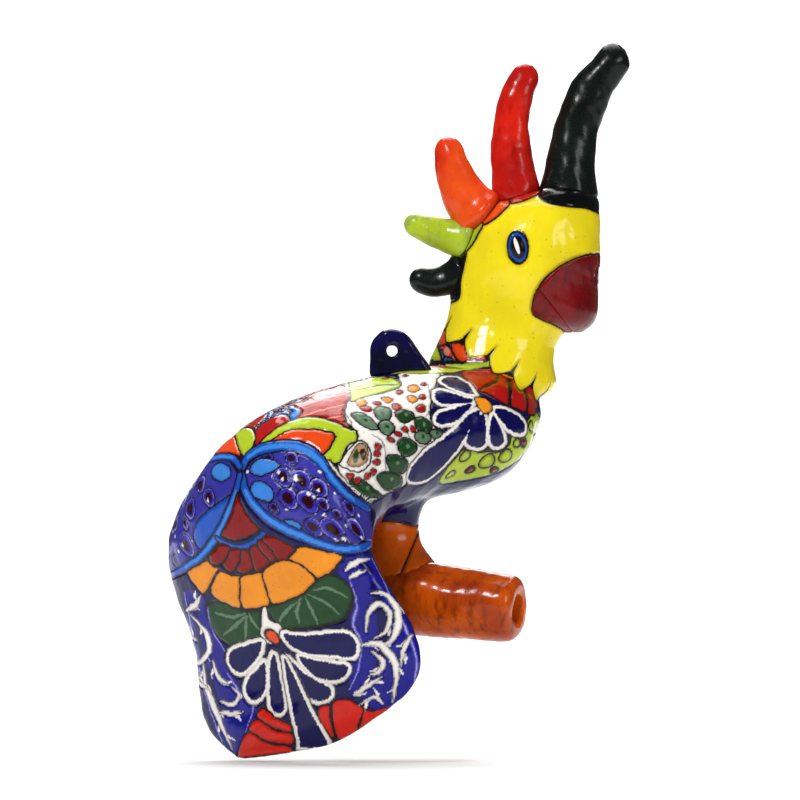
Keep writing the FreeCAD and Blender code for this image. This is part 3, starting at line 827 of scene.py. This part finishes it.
# violet-blue shading down the tail's two sides and round the flower
for outline in (
    [
        (-28, -124), (-13.5, -122), (-5, -137), (5, -154), (14.5, -172), (18, -186.5), (13.5, -205),
        (2.5, -214.5), (-9.5, -214.5), (-18, -207), (-24, -205), (-25.5, -189), (-18, -178), (-20.5, -166),
        (-23, -154), (-21.5, -143), (-31.5, -133.5),
    ],
    [
        (-124.5, -144.5), (-113.5, -148), (-111, -160), (-102.5, -176), (-100.5, -189), (-92, -201),
        (-86, -211), (-81, -215.5), (-86, -231.5), (-94, -242), (-100.5, -237.5), (-110, -217),
        (-118.5, -186.5), (-123, -163.5),
    ],
):
    patch(outline, "ultramarine", None)
for path in (
    [(-12, -124), (-2.5, -143), (7, -163.5), (14.5, -184), (11, -202.5), (-5, -215.5)],
        [(-25.5, -136), (-21, -150.5), (-23, -163.5), (-18.5, -174.5), (-20.5, -191.5), (-25.5, -202.5)],
    [(-111, -154), (-108.5, -167.5), (-100.5, -180.5)],
        [(-99, -194), (-92, -205), (-83.5, -213), (-88, -229)],
        [(-125.5, -145.5), (-121, -168.5), (-113.5, -205), (-102.5, -236)],
):
    stroke(path, (0.5, 1.5, 1.2, 0.4), "iris")
    stroke(path, (0.2, 0.6, 0.5, 0.2), "lavender")
for path in ([(-12, -138.5), (-7, -153), (-5, -174.5), (-9.5, -194)], [(-18, -126), (-12, -132.5)],
    [(-118.5, -154), (-116, -174.5), (-110, -198.5), (-100.5, -220.5)]):
    stroke(path, (1.0, 3.2, 3.0, 1.0), "navy")

# tail flower
bloom((
    [
        (-98.5, -185.5), (-96, -180), (-88, -177), (-78.5, -174.5), (-78.5, -179.5), (-80.5, -184),
        (-84.5, -189.5), (-90, -193.5), (-95.5, -192),
    ],
    [
        (-88, -205), (-86.5, -197.5), (-81.5, -191.5), (-76.5, -186.5), (-75.5, -194), (-76, -202.5),
        (-79.5, -209), (-84.5, -210),
    ],
    [
        (-73.5, -208), (-73.5, -198.5), (-73, -186.5), (-70.5, -182), (-68.5, -189.5), (-66, -201.5),
        (-64.5, -214), (-67.5, -218), (-72, -215.5),
    ],
    [
        (-65, -169.5), (-55.5, -170.5), (-43.5, -169.5), (-31.5, -168.5), (-26, -169), (-21.5, -173.5),
        (-21, -179.5), (-24, -183.5), (-34.5, -182.5), (-44.5, -182), (-54, -180.5), (-61.5, -176),
    ],
    [
        (-55.5, -183.5), (-44.5, -185.5), (-34.5, -187), (-26.5, -188.5), (-27, -193.5), (-32.5, -197),
        (-40.5, -197), (-48.5, -193.5),
    ],
    [
        (-63, -184), (-55.5, -190.5), (-48.5, -195.5), (-40.5, -199.5), (-36, -203.5), (-37.5, -208),
        (-43.5, -210), (-49, -208.5), (-54, -202.5), (-58.5, -194),
    ],
), "navy", "white", 2.6, 0.3)
for outline in (
    [(-44.5, -215.5), (-40.5, -212), (-37, -213), (-37, -220), (-34, -233), (-42.5, -224)],
    [
        (-36, -213), (-31.5, -208.5), (-24, -209.5), (-17, -214.5), (-19.5, -221.5), (-21.5, -230.5),
        (-30, -233.5), (-34, -229),
    ],
    [(-16.5, -215), (-11, -215.5), (0, -213), (-5, -224), (-12, -227.5), (-20.5, -230), (-18.5, -221.5)],
    [(-78.5, -214.5), (-75, -216), (-68.5, -221), (-61.5, -224), (-60.5, -229), (-70, -227), (-81, -220.5)],
    [(-81.5, -221.5), (-70.5, -227.5), (-60, -230), (-60, -236), (-73.5, -235), (-86, -229)],
    [(-87, -229.5), (-75, -235.5), (-60.5, -238), (-61, -244.5), (-78.5, -248), (-93, -248)],
):
    patch(outline, "scarlet")

bloom((
    [
        (-65, -184), (-61.5, -189), (-57, -198.5), (-53, -207), (-49, -215.5), (-43.5, -225.5),
        (-38, -236), (-35, -248), (-53, -248), (-56, -232), (-60, -214), (-63, -198.5),
    ],
), "navy", "white", 2.5, 0.3)
dots([(-71.5, -171.5)], 5.4, "ink", 0.3)
dots([(-71.5, -171.5)], 4.0, "orange")


def plume(path, width, hairs, length, bend, seed):
    # a white brushed curl with fine hairs that leave it on both sides
    dice = np.random.default_rng(seed)
    line = spread(path, closed=False, steps=8)
    for number in range(hairs):
        place = int((number + 0.6) / hairs * (len(line) - 3))
        run = line[place + 2] - line[place]
        side = 1 if number % 2 else -1
        bearing = math.atan2(run[1], run[0]) + bend * side * dice.uniform(0.7, 1.2)
        reach = length * dice.uniform(0.7, 1.15)
        way = np.array([math.cos(bearing), math.sin(bearing)])
        off = np.array([-way[1], way[0]]) * reach * dice.uniform(-0.22, 0.22)
        hair = [line[place], line[place] + way * reach * 0.5 + off, line[place] + way * reach]
        stroke(hair, (1.3, 1.0, 0.25), "white", None)
    stroke(path, (0.6, width, width * 0.8, 0.4), "white", 0.15)


curls = (
    ([(-28, -131), (-21, -126), (-13.5, -124.5)], 1.4, 0), ([
        (-25.5, -136), (-20.5, -133), (-15.5, -131.5),
    ], 1.2, 0),
    ([(-12, -144.5), (-3.5, -145.5), (3, -153.5), (4, -162.5), (0.5, -172), (-8.5, -179)], 2.0, 7),
    ([(-15.5, -167.5), (-14, -156.5), (-7, -151), (-1, -157.5), (-3.5, -167.5), (-11, -172)], 1.4, 4),
    ([(-18, -176), (-8.5, -175), (-0.5, -182), (2.5, -192.5), (0.5, -210)], 2.1, 9),
    ([(-12, -179.5), (-5.5, -185.5), (-8, -192), (-14, -194)], 1.4, 2), ([
        (-23, -206), (-15.5, -201), (-6, -195),
    ], 1.5, 5),
    ([(12, -169.5), (7, -178), (5.5, -188)], 1.1, 3), ([(-5, -211), (-11, -207), (-19.5, -212)], 1.2, 3),
    ([(-124.5, -157), (-118.5, -153), (-115, -147)], 1.4, 3), ([
        (-122, -159), (-112.5, -169.5), (-110.5, -180.5), (-116.5, -188), (-123, -184),
    ], 1.8, 5),
    ([(-114, -189), (-112.5, -202.5), (-107.5, -214.5), (-102.5, -226.5), (-96.5, -240)], 2.1, 11), ([
        (-111, -203.5), (-117, -200), (-121.5, -191.5),
    ], 1.2, 3),
    ([(-104, -218), (-96.5, -218.5), (-89.5, -217.5)], 1.3, 2), ([
        (-103.5, -211), (-96, -213), (-92, -207), (-96.5, -203),
    ], 1.3, 2),
    ([(-118, -175), (-122.5, -171), (-125.5, -162.5)], 1.1, 3), ([
        (-108, -186.5), (-105, -196.5), (-98.5, -201.5),
    ], 1.3, 4),
)
for number, (path, width, hairs) in enumerate(curls):
    plume(path, width * 1.25, (hairs + 1) // 2, 6.5, 0.6, number)

# The belly is navy on both sides, and amber glaze starts below it on the leg.
mirrored["on"] = True
allowed = np.ones(len(points), bool)
legSide, legFace = points[:, 0] - body["leg"][0], points[:, 1] - body["leg"][1]
below = -104 - points[:, 2] + 1.5 * np.sin(np.arctan2(legFace, legSide) * 3)
onLeg = (np.hypot(legSide, legFace) < 28) & (points[:, 2] < -84)
where = np.nonzero(onLeg)[0]
lay(where, -below[where], "amber", 0.5)
seamGap = np.abs(legSide * 0.8 - (points[:, 2] + 128) * 0.35 - 8)
where = np.nonzero(onLeg & (below > 0) & (points[:, 1] < 2))[0]
gap[where] = np.minimum(gap[where], seamGap[where] - 0.4)

# The head's yellow ends on the neck in a hem of scallops, with a dark tick between each pair.
hem = {"scallops": 13, "start": 0.2, "deep": 8, "neck": 32}
above = (points - neckPoint) @ neckWay
around = np.arctan2(points[:, 1] - 42, (points - neckPoint) @ np.array([0.835, 0, -0.55]))
share = np.mod(around * hem["scallops"] / (2 * math.pi) + hem["start"], 1)
bite = hem["deep"] * (1 - np.abs(2 * share - 1) ** 1.5)
where = np.nonzero(np.abs(above) < 40)[0]
lay(where, -(above + bite - 1)[where], "yellow", 0.5)
colour[above > 20] = glaze["yellow"]
gap[above > 20] = 30
tickWay = np.minimum(share, 1 - share) * 2 * math.pi * hem["neck"] / hem["scallops"]
tick = np.maximum(tickWay - 0.9 * (1 - above / 8), np.abs(above - 3) - 5)
near = np.abs(above) < 12
gap[near] = np.minimum(gap[near], tick[near])


def crownPatch(outline, fill):
    # the crest's colours run down over the crown on both sides
    line = spread(outline)
    cloud = points[:, [0, 2]]
    where = np.nonzero(((cloud > line.min(0) - 6) & (cloud < line.max(0) + 6)).all(1) & (above > 12))[0]
    distance, _, inside = segmentsDistance(cloud[where], line, True)
    depth = np.where(inside, distance, -distance)
    lay(where, -depth, fill, 0.5)
    rootSwell[where] = np.maximum(rootSwell[where], 2.6 * ease(depth, 0, 9))


rootSwell = np.zeros(len(points))
for outline, shade in (
    ([
        (87, 99.5), (88, 115.5), (92.5, 139.5), (150, 139.5), (140.5, 78), (126, 83.5), (118, 86.5),
        (107.5, 87.5), (95.5, 89.5), (89.5, 93),
    ], "black"),
    ([
        (61.5, 104.5), (65, 127.5), (89.5, 127.5), (88, 104.5), (90, 97), (84, 93), (77.5, 90.5), (70, 90),
        (64.5, 95),
    ], "scarlet"),
    ([
        (26.5, 121.5), (53, 121.5), (62, 104.5), (66.5, 96.5), (71.5, 90.5), (66.5, 84), (60.5, 79),
        (54.5, 76.5), (47, 78.5), (36, 82.5), (29, 97),
    ], "flame"),
    ([
        (11, 91), (35, 84), (47, 81), (55, 78), (52.5, 71.5), (48.5, 64.5), (43, 59), (35, 58), (17, 63.5),
    ], "lime"),
    ([(17, 63.5), (36, 60), (44.5, 61), (43.5, 52), (41.5, 43), (40, 31.5), (29, 29.5), (17, 37)], "black"),
):
    crownPatch(outline, shade)
rootSwell = smoothed(skin.data, rootSwell[:, None].repeat(3, axis=1), np.full(len(points), 0.5), 12)[:, :1]
points = points + vertexNormals(skin.data) * rootSwell
# behind the middle of the beak the face draws back
tucked = (1 - ease(np.abs(points[:, 1] - 45), 14, 22)) * ease(points[:, 0], 110, 116)
tucked *= ease(points[:, 2], 22, 27) * (1 - ease(points[:, 2], 51, 56))
points[:, 0] -= 8 * tucked
setCoordinates(skin.data, points)


# Crest: horns of clay, each grown from inside the head. Lengths in mm; the bearing is degrees from +X
# at the root, it turns by turn towards the tip, late says how late, and tip is the tip's share of wide.
crest = {
    "front": {
        "root": (107.5, 80), "start": 91, "turn": -52, "late": 1.7, "tip": 0.56,
        "long": 113, "wide": 17.5, "finish": "black"},
    "second": {
        "root": (77, 86), "start": 100, "turn": -46, "late": 2.0, "tip": 0.54,
        "long": 91, "wide": 15.0, "finish": "red"},
    "third": {
        "root": (59, 79), "start": 143, "turn": -54, "late": 1.0, "tip": 0.44,
        "long": 58.5, "wide": 17.6, "finish": "orange"},
    "fourth": {
        "root": (51, 67), "start": 171, "turn": -12, "late": 0.7, "tip": 0.42,
        "long": 45, "wide": 13.6, "finish": "lime"},
    "rear": {
        "root": (47, 51), "start": 222, "turn": -64, "late": 1.0, "tip": 0.54,
        "long": 39, "wide": 12, "finish": "black"},
}


def stripFaces(rows, across):
    # the quads between rows of points that each close into a ring
    faces = []
    for row in range(rows):
        a, b = row * across, (row + 1) * across
        for step in range(across):
            after = (step + 1) % across
            faces.append((a + step, a + after, b + after, b + step))
    return faces


def feather(name, make):
    # an oval section swept along a curling line, rounded at the tip
    rows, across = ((90, 72))
    place, found = np.array([make["root"][0], 45.0, make["root"][1]]), []
    for row in range(rows + 1):
        share = row / rows
        bearing = math.radians(make["start"] + make["turn"] * share ** make["late"])
        way = np.array([math.cos(bearing), 0, math.sin(bearing)])
        if row:
            place = place + way * make["long"] / rows
        half = (1 - (1 - make["tip"]) * share) * make["wide"]
        left = make["long"] * (1 - share)
        if left < half:
            half = math.sqrt(max(half**2 - (half - left) ** 2, 1e-4))
        flare = 1 + 0.24 * max(0, 1 - share / 0.3) ** 2
        swell = 1 + 0.3 * max(0, 1 - share / 0.42)
        half *= 0.62 + 0.38 * ease(share, 0, 0.16)
        out = np.array([-math.sin(bearing), 0, math.cos(bearing)])
        for step in range(across):
            angle = 2 * math.pi * step / across
            edge = half * flare * math.cos(angle)
            face = half * min(flare, 1.12) * 0.8 * swell * math.sin(angle)
            found.append(place + out * edge + np.array([0, face, 0]))
    faces = stripFaces(rows, across)
    faces.append(tuple(range(across))[::-1])
    faces.append(tuple(range(rows * across, (rows + 1) * across)))
    piece = newPiece(f"crestFeather{name.capitalize()}", found, faces)
    skinPoints = coordinates(piece.data)
    lumps = 0.5 * wobble(skinPoints, 24, len(name)) + 0.16 * wobble(skinPoints, 9, 2 + len(name))
    setCoordinates(piece.data, skinPoints + vertexNormals(piece.data) * lumps[:, None])
    return piece


feathers = {name: feather(name, make) for name, make in crest.items()}
print("crest of", len(feathers))

# Beak, lug and log: their clay bodies, softened and a little uneven. All lengths in mm.
clay = {
    "beakUpper": {
        "node": "beak_upper", "cell": 0.7, "soften": 8, "lump": 0.14, "wave": 22, "grow": 0.35,
        "finish": "beak", "slot": "maroon_glaze"},
    "beakLower": {
        "node": "beak_lower", "cell": 0.6, "soften": 6, "lump": 0.2, "wave": 14, "grow": 0.3,
        "finish": "beak", "slot": "maroon_glaze"},
    "hangingLug": {
        "node": "hanging_lug", "cell": 0.6, "soften": 6, "lump": 0.22, "wave": 14, "grow": 0.3,
        "finish": "navy", "slot": "navy_glaze"},
    "perchLog": {
        "node": "perch_log", "cell": 0.9, "soften": 10, "lump": 0.4, "wave": 30, "grow": 0.2,
        "finish": "amber", "slot": "amber_glaze"},
}


def softCopy(name, make):
    piece = copyOfNodes(name, [make["node"]])
    remesh(piece, make["cell"] * (1))
    clayPoints = coordinates(piece.data)
    clayPoints = smoothed(piece.data, clayPoints, np.full(len(clayPoints), 0.5), make["soften"])
    setCoordinates(piece.data, clayPoints)
    lump, wave = make["lump"], make["wave"]
    push = make["grow"] + lump * wobble(clayPoints, wave, len(name))
    push = push + 0.35 * lump * wobble(clayPoints, wave / 3, 1 + len(name))
    setCoordinates(piece.data, clayPoints + vertexNormals(piece.data) * push[:, None])
    return piece


softened = {name: softCopy(name, make) for name, make in clay.items()}
print("beak, lug and log", [len(piece.data.vertices) for piece in softened.values()])

# Eyes: clay buttons with a painted blue ring and a black pupil; the white slit across the pupil is a painted
# highlight.
button = {"x": 76.1, "z": 62.8, "long": 10.4, "wide": 6.7, "high": 3.0, "tilt": math.radians(9), "out": 34.9}


def eye(name, way):
    rings, spokes = 60, 120
    cos, sin = math.cos(button["tilt"]), math.sin(button["tilt"])
    found = []
    for ring in range(rings + 1):
        out = ring / rings
        lift = button["high"] * math.sqrt(max(1 - out**2, 0)) - 0.6
        for step in range(spokes):
            angle = 2 * math.pi * step / spokes
            long, short = button["long"] * out * math.cos(angle), button["wide"] * out * math.sin(angle)
            found.append((
                button["x"] + short * cos - long * sin, 45 + way * (button["out"] + lift),
                button["z"] + long * cos + short * sin))
    faces = stripFaces(rings, spokes)
    piece = newPiece(name, found, faces if way > 0 else [quad[::-1] for quad in faces])
    work = bmesh.new()
    work.from_mesh(piece.data)
    bmesh.ops.remove_doubles(work, verts=work.verts, dist=1e-6)
    bmesh.ops.recalc_face_normals(work, faces=work.faces)
    work.to_mesh(piece.data)
    work.free()
    return piece


def paintEye(piece):
    own = coordinates(piece.data)
    cos, sin = math.cos(button["tilt"]), math.sin(button["tilt"])
    x, z = own[:, 0] - button["x"], own[:, 2] - button["z"]
    high, wide = z * cos - x * sin, x * cos + z * sin
    out = np.hypot(high / 10.0, wide / 6.3)
    shade = np.tile(glaze["cobalt"], (len(own), 1))
    shade[out < 0.66] = glaze["ink"]
    # painted highlight: a white slit on the black pupil
    highlightSlit = np.hypot((wide + 0.6 + 0.14 * (high - 1)) / 1.25, (high - 1) / 5.2)
    shade[highlightSlit < 1] = glaze["white"]
    putField(piece.data, "paint", "FLOAT_COLOR", shade)
    edge = np.minimum(np.abs(out - 0.66) * 6.5 - 0.25, (1 - out) * 6.5 - 0.6)
    putField(piece.data, "inkGap", "FLOAT", edge)


eyes = {"eyeRight": eye("eyeRight", -1), "eyeLeft": eye("eyeLeft", 1)}
for piece in eyes.values():
    paintEye(piece)

# Dark lines where the crest, beak, eyes and lug meet the skin; each piece with its line's half width.
lined = [(piece, 0.9) for piece in feathers.values()]
lined += [(softened["beakUpper"], 1.0), (softened["beakLower"], 1.0), (softened["hangingLug"], 0.7)]
lined += [(piece, 0.7) for piece in eyes.values()]
for piece, edge in lined:
    own = coordinates(piece.data)
    tree = BVHTree.FromPolygons(own.tolist(), [tuple(face.vertices) for face in piece.data.polygons])
    low, high = own.min(0) - 3, own.max(0) + 3
    for number in np.nonzero(((points > low) & (points < high)).all(1))[0]:
        hit = tree.find_nearest(points[number].tolist(), 3.0)
        if hit[3] is not None:
            gap[number] = min(gap[number], hit[3] - edge)
print("painted")

putField(skin.data, "paint", "FLOAT_COLOR", colour)
putField(skin.data, "inkGap", "FLOAT", np.clip(gap, -2, 30))


def material(name):
    thing = bpy.data.materials.new(name)
    thing.use_nodes = True
    thing.node_tree.nodes.clear()
    return thing, thing.node_tree


def node(tree, kind, values=None, links=None):
    thing = tree.nodes.new(kind)
    for key, value in (values or {}).items():
        if isinstance(key, int) or key in thing.inputs:
            thing.inputs[key].default_value = value
        else:
            setattr(thing, key, value)
    for key, source in (links or {}).items():
        tree.links.new(source, thing.inputs[key])
    return thing


def rgba(shade):
    return (*[float(value) for value in shade], 1.0)


def noise(tree, place, size, detail, rough=0.5):
    # a field whose blotches are about size millimetres across
    return node(tree, "ShaderNodeTexNoise", {
        "Scale": 1000 / size, "Detail": detail, "Roughness": rough}, {"Vector": place})


def spreadOf(tree, value, low, high, toLow=0.0, toHigh=1.0):
    return node(tree, "ShaderNodeMapRange", {
        "From Min": low, "From Max": high, "To Min": toLow, "To Max": toHigh}, {"Value": value}).outputs[0]


def mixed(tree, share, first, second, blend="MIX"):
    thing = node(tree, "ShaderNodeMix", {"data_type": "RGBA", "blend_type": blend})
    for socket, value in zip((0, 6, 7), (share, first, second)):
        if hasattr(value, "node"):
            tree.links.new(value, thing.inputs[socket])
        else:
            thing.inputs[socket].default_value = value
    return thing.outputs[2]


def scaled(tree, *values, how="MULTIPLY"):
    thing = node(tree, "ShaderNodeMath", {"operation": how})
    for number, value in enumerate(values):
        if hasattr(value, "node"):
            tree.links.new(value, thing.inputs[number])
        else:
            thing.inputs[number].default_value = value
    return thing.outputs[0]


def glazedClay(name, base=None, second=None, streak=None, rough=0.13):
    # Lead-bright glaze brushed over white slip. What the eye gets: colour that pools and darkens towards
    # the outlines, brush marks 5 mm wide, a few pits and a soft orange-peel in the gloss. The real glaze
    # is near IOR 1.5; it is held down here, so that the room's pale light doesn't veil the dark colours.
    thing, tree = material(name)
    place = node(tree, "ShaderNodeTexCoord").outputs["Object"]
    broad = noise(tree, place, 30, 3).outputs[0]
    drawn = node(tree, "ShaderNodeMapping", {
        "Scale": (1.0, 1.0, 0.35), "Rotation": (0.4, 0.3, 0.9)}, {"Vector": place}).outputs[0]
    brushed = noise(tree, drawn, 5, 4, 0.6).outputs[0]
    fine = noise(tree, place, 1.1, 3, 0.6).outputs[0]
    if base is None:
        paint = node(tree, "ShaderNodeAttribute", {"attribute_name": "paint"}).outputs["Color"]
    else:
        paint = mixed(tree, spreadOf(tree, broad, 0.35, 0.7), rgba(glaze[base]), rgba(glaze[second or base]))
    if streak is not None:
        paint = mixed(tree, spreadOf(tree, brushed, 0.5, 0.75, 0, 0.8), paint, rgba(glaze[streak]))
    deep = mixed(tree, spreadOf(tree, broad, 0.3, 0.75, 0.0, 0.3), paint, (0.45, 0.42, 0.5, 1), "MULTIPLY")
    washed = mixed(tree, spreadOf(tree, brushed, 0.52, 0.78, 0.0, 0.22), deep, (1, 1, 1, 1), "SOFT_LIGHT")
    shade, lift = washed, scaled(tree, broad, 0.00018)
    if base is None:
        inkGap = node(tree, "ShaderNodeAttribute", {"attribute_name": "inkGap"}).outputs["Fac"]
        ragged = scaled(tree, inkGap, scaled(tree, fine, -0.5, how="ADD"), how="ADD")
        pooled = spreadOf(tree, inkGap, 0.0, 1.6, 0.45, 0.0)
        shade = mixed(tree, pooled, washed, (0.35, 0.3, 0.34, 1), "MULTIPLY")
        shade = mixed(tree, spreadOf(tree, ragged, -0.12, 0.28), rgba(glaze["ink"]), shade)
        dome = node(tree, "ShaderNodeMapRange", {
            "interpolation_type": "SMOOTHSTEP", "From Min": -0.4, "From Max": 1.5},
            {"Value": inkGap}).outputs[0]
        lift = scaled(tree, lift, scaled(tree, dome, 0.00042), how="ADD")
    pits = node(tree, "ShaderNodeTexVoronoi", {"Scale": 220.0, "Randomness": 1.0}, {"Vector": place})
    pit = spreadOf(tree, pits.outputs["Distance"], 0.05, 0.16)
    shade = mixed(tree, scaled(tree, scaled(tree, pit, -1.0, how="ADD"), -0.35), shade, rgba(glaze["ink"]))
    lift = scaled(tree, lift, scaled(tree, pit, 0.00006), how="ADD")
    lift = scaled(tree, lift, scaled(tree, brushed, 0.00010), how="ADD")
    lift = scaled(tree, lift, scaled(tree, fine, 0.000012), how="ADD")
    bump = node(tree, "ShaderNodeBump", {"Strength": 1.0, "Distance": 1.0}, {"Height": lift}).outputs[0]
    gloss = spreadOf(tree, fine, 0.3, 0.8, rough * 0.7, rough * 1.7)
    surface = node(tree, "ShaderNodeBsdfPrincipled", {
        "IOR": 1.3, "Coat Weight": 0.05, "Coat Roughness": 0.04, "Coat IOR": 1.5},
        {"Base Color": shade, "Roughness": gloss, "Normal": bump})
    node(tree, "ShaderNodeOutputMaterial", links={"Surface": surface.outputs[0]})
    return thing


finishes = {
    "skin": glazedClay("manyColouredGlaze"),
    "black": glazedClay("blackGlaze", "black", "bottle", "ink", 0.24),
    "red": glazedClay("redGlaze", "scarlet", "red", "maroon", 0.2),
    "orange": glazedClay("orangeGlaze", "flame", "scarlet", "orange", 0.2),
    "lime": glazedClay("limeGlaze", "lime", "olive", "sage", 0.2),
    "beak": glazedClay("oxbloodGlaze", "oxblood", "maroon", "plum", 0.2),
    "navy": glazedClay("navyGlaze", "navy", "ink", "navy"),
    "amber": glazedClay("amberGlaze", "amber", "rust", "umber", 0.16),
}

skin.data.materials.append(finishes["skin"])
settle(skin, body["nodes"])
for name, piece in feathers.items():
    finish = crest[name]["finish"]
    piece.data.materials.append(finishes[finish])
    settle(piece, [f"crest_feather_{name}"])
for name, piece in softened.items():
    piece.data.materials.append(finishes[clay[name]["finish"]])
    settle(piece, [clay[name]["node"]])
for name, piece in eyes.items():
    piece.data.materials.append(finishes["skin"])
    settle(piece, ["eye_right" if name == "eyeRight" else "eye_left"])
print("glazed", len(finishes), "finishes")


# The room: a pale sheet that runs far back before it curves up, so the way round the bird stays open.
room = {"floor": -247, "front": -1200, "bend": 6900, "radius": 2000, "side": 1600, "curl": 1.3}


def studio():
    thing, tree = material("paleSweep")
    place = node(tree, "ShaderNodeTexCoord").outputs["Object"]
    grain = noise(tree, place, 40, 4).outputs[0]
    shade = mixed(tree, spreadOf(tree, grain, 0.3, 0.7), (0.86, 0.86, 0.86, 1), (0.9, 0.9, 0.895, 1))
    surface = node(tree, "ShaderNodeBsdfPrincipled", {"Roughness": 0.85}, {"Base Color": shade})
    node(tree, "ShaderNodeOutputMaterial", links={"Surface": surface.outputs[0]})
    bend, radius = room["bend"], room["radius"]
    profile = [(room["front"], 0), (900, 0), (bend, 0)]
    for angle in np.linspace(0, room["curl"], 22)[1:]:
        profile.append((bend + radius * math.sin(angle), radius - radius * math.cos(angle)))
    found = [(x, y, z + room["floor"]) for y, z in profile for x in (-room["side"], room["side"])]
    faces = [(2 * i, 2 * i + 1, 2 * i + 3, 2 * i + 2) for i in range(len(profile) - 1)]
    sweep = newPiece("sweep", found, faces)
    sweep.data.materials.append(thing)
    shadeSmooth(sweep)


def lamp(name, where, aim, size, power):
    light = bpy.data.lights.new(name, "AREA")
    light.shape = "RECTANGLE"
    light.size, light.size_y = size
    light.energy = power
    holder = linked(name, light)
    holder.location = where
    holder.rotation_euler = (Vector(aim) - Vector(where)).to_track_quat("-Z", "Y").to_euler()


studio()
middle = (0.0, 0.0, -0.03)
lamp("keySoft", (-0.7, -1.3, 1.2), middle, (0.35, 0.35), 23)
lamp("fillSoft", (1.3, -1.2, 0.5), middle, (0.5, 0.6), 6.5)
lamp("topSoft", (0.1, 0.1, 1.6), middle, (0.6, 0.5), 4.5)
lamp("farGlow", (0.0, 4.3, 3.0), (0.0, 4.3, -0.25), (3.0, 7.6), 380)
world = bpy.data.worlds.new("room")
bpy.context.scene.world = world
world.use_nodes = True
air = world.node_tree.nodes["Background"].inputs
air["Color"].default_value, air["Strength"].default_value = (1, 1, 1, 1), 0.1

lens = bpy.data.cameras.new("view")
lens.lens = 500
lens.sensor_width = 36
lens.clip_end = 60
view = linked("view", lens)
view.location = (0.0048, -6.711, -0.0296)
view.rotation_euler = (math.radians(90), 0, 0)
bpy.context.scene.camera = view
bpy.context.scene.view_settings.view_transform = "Standard"
print("room lit")
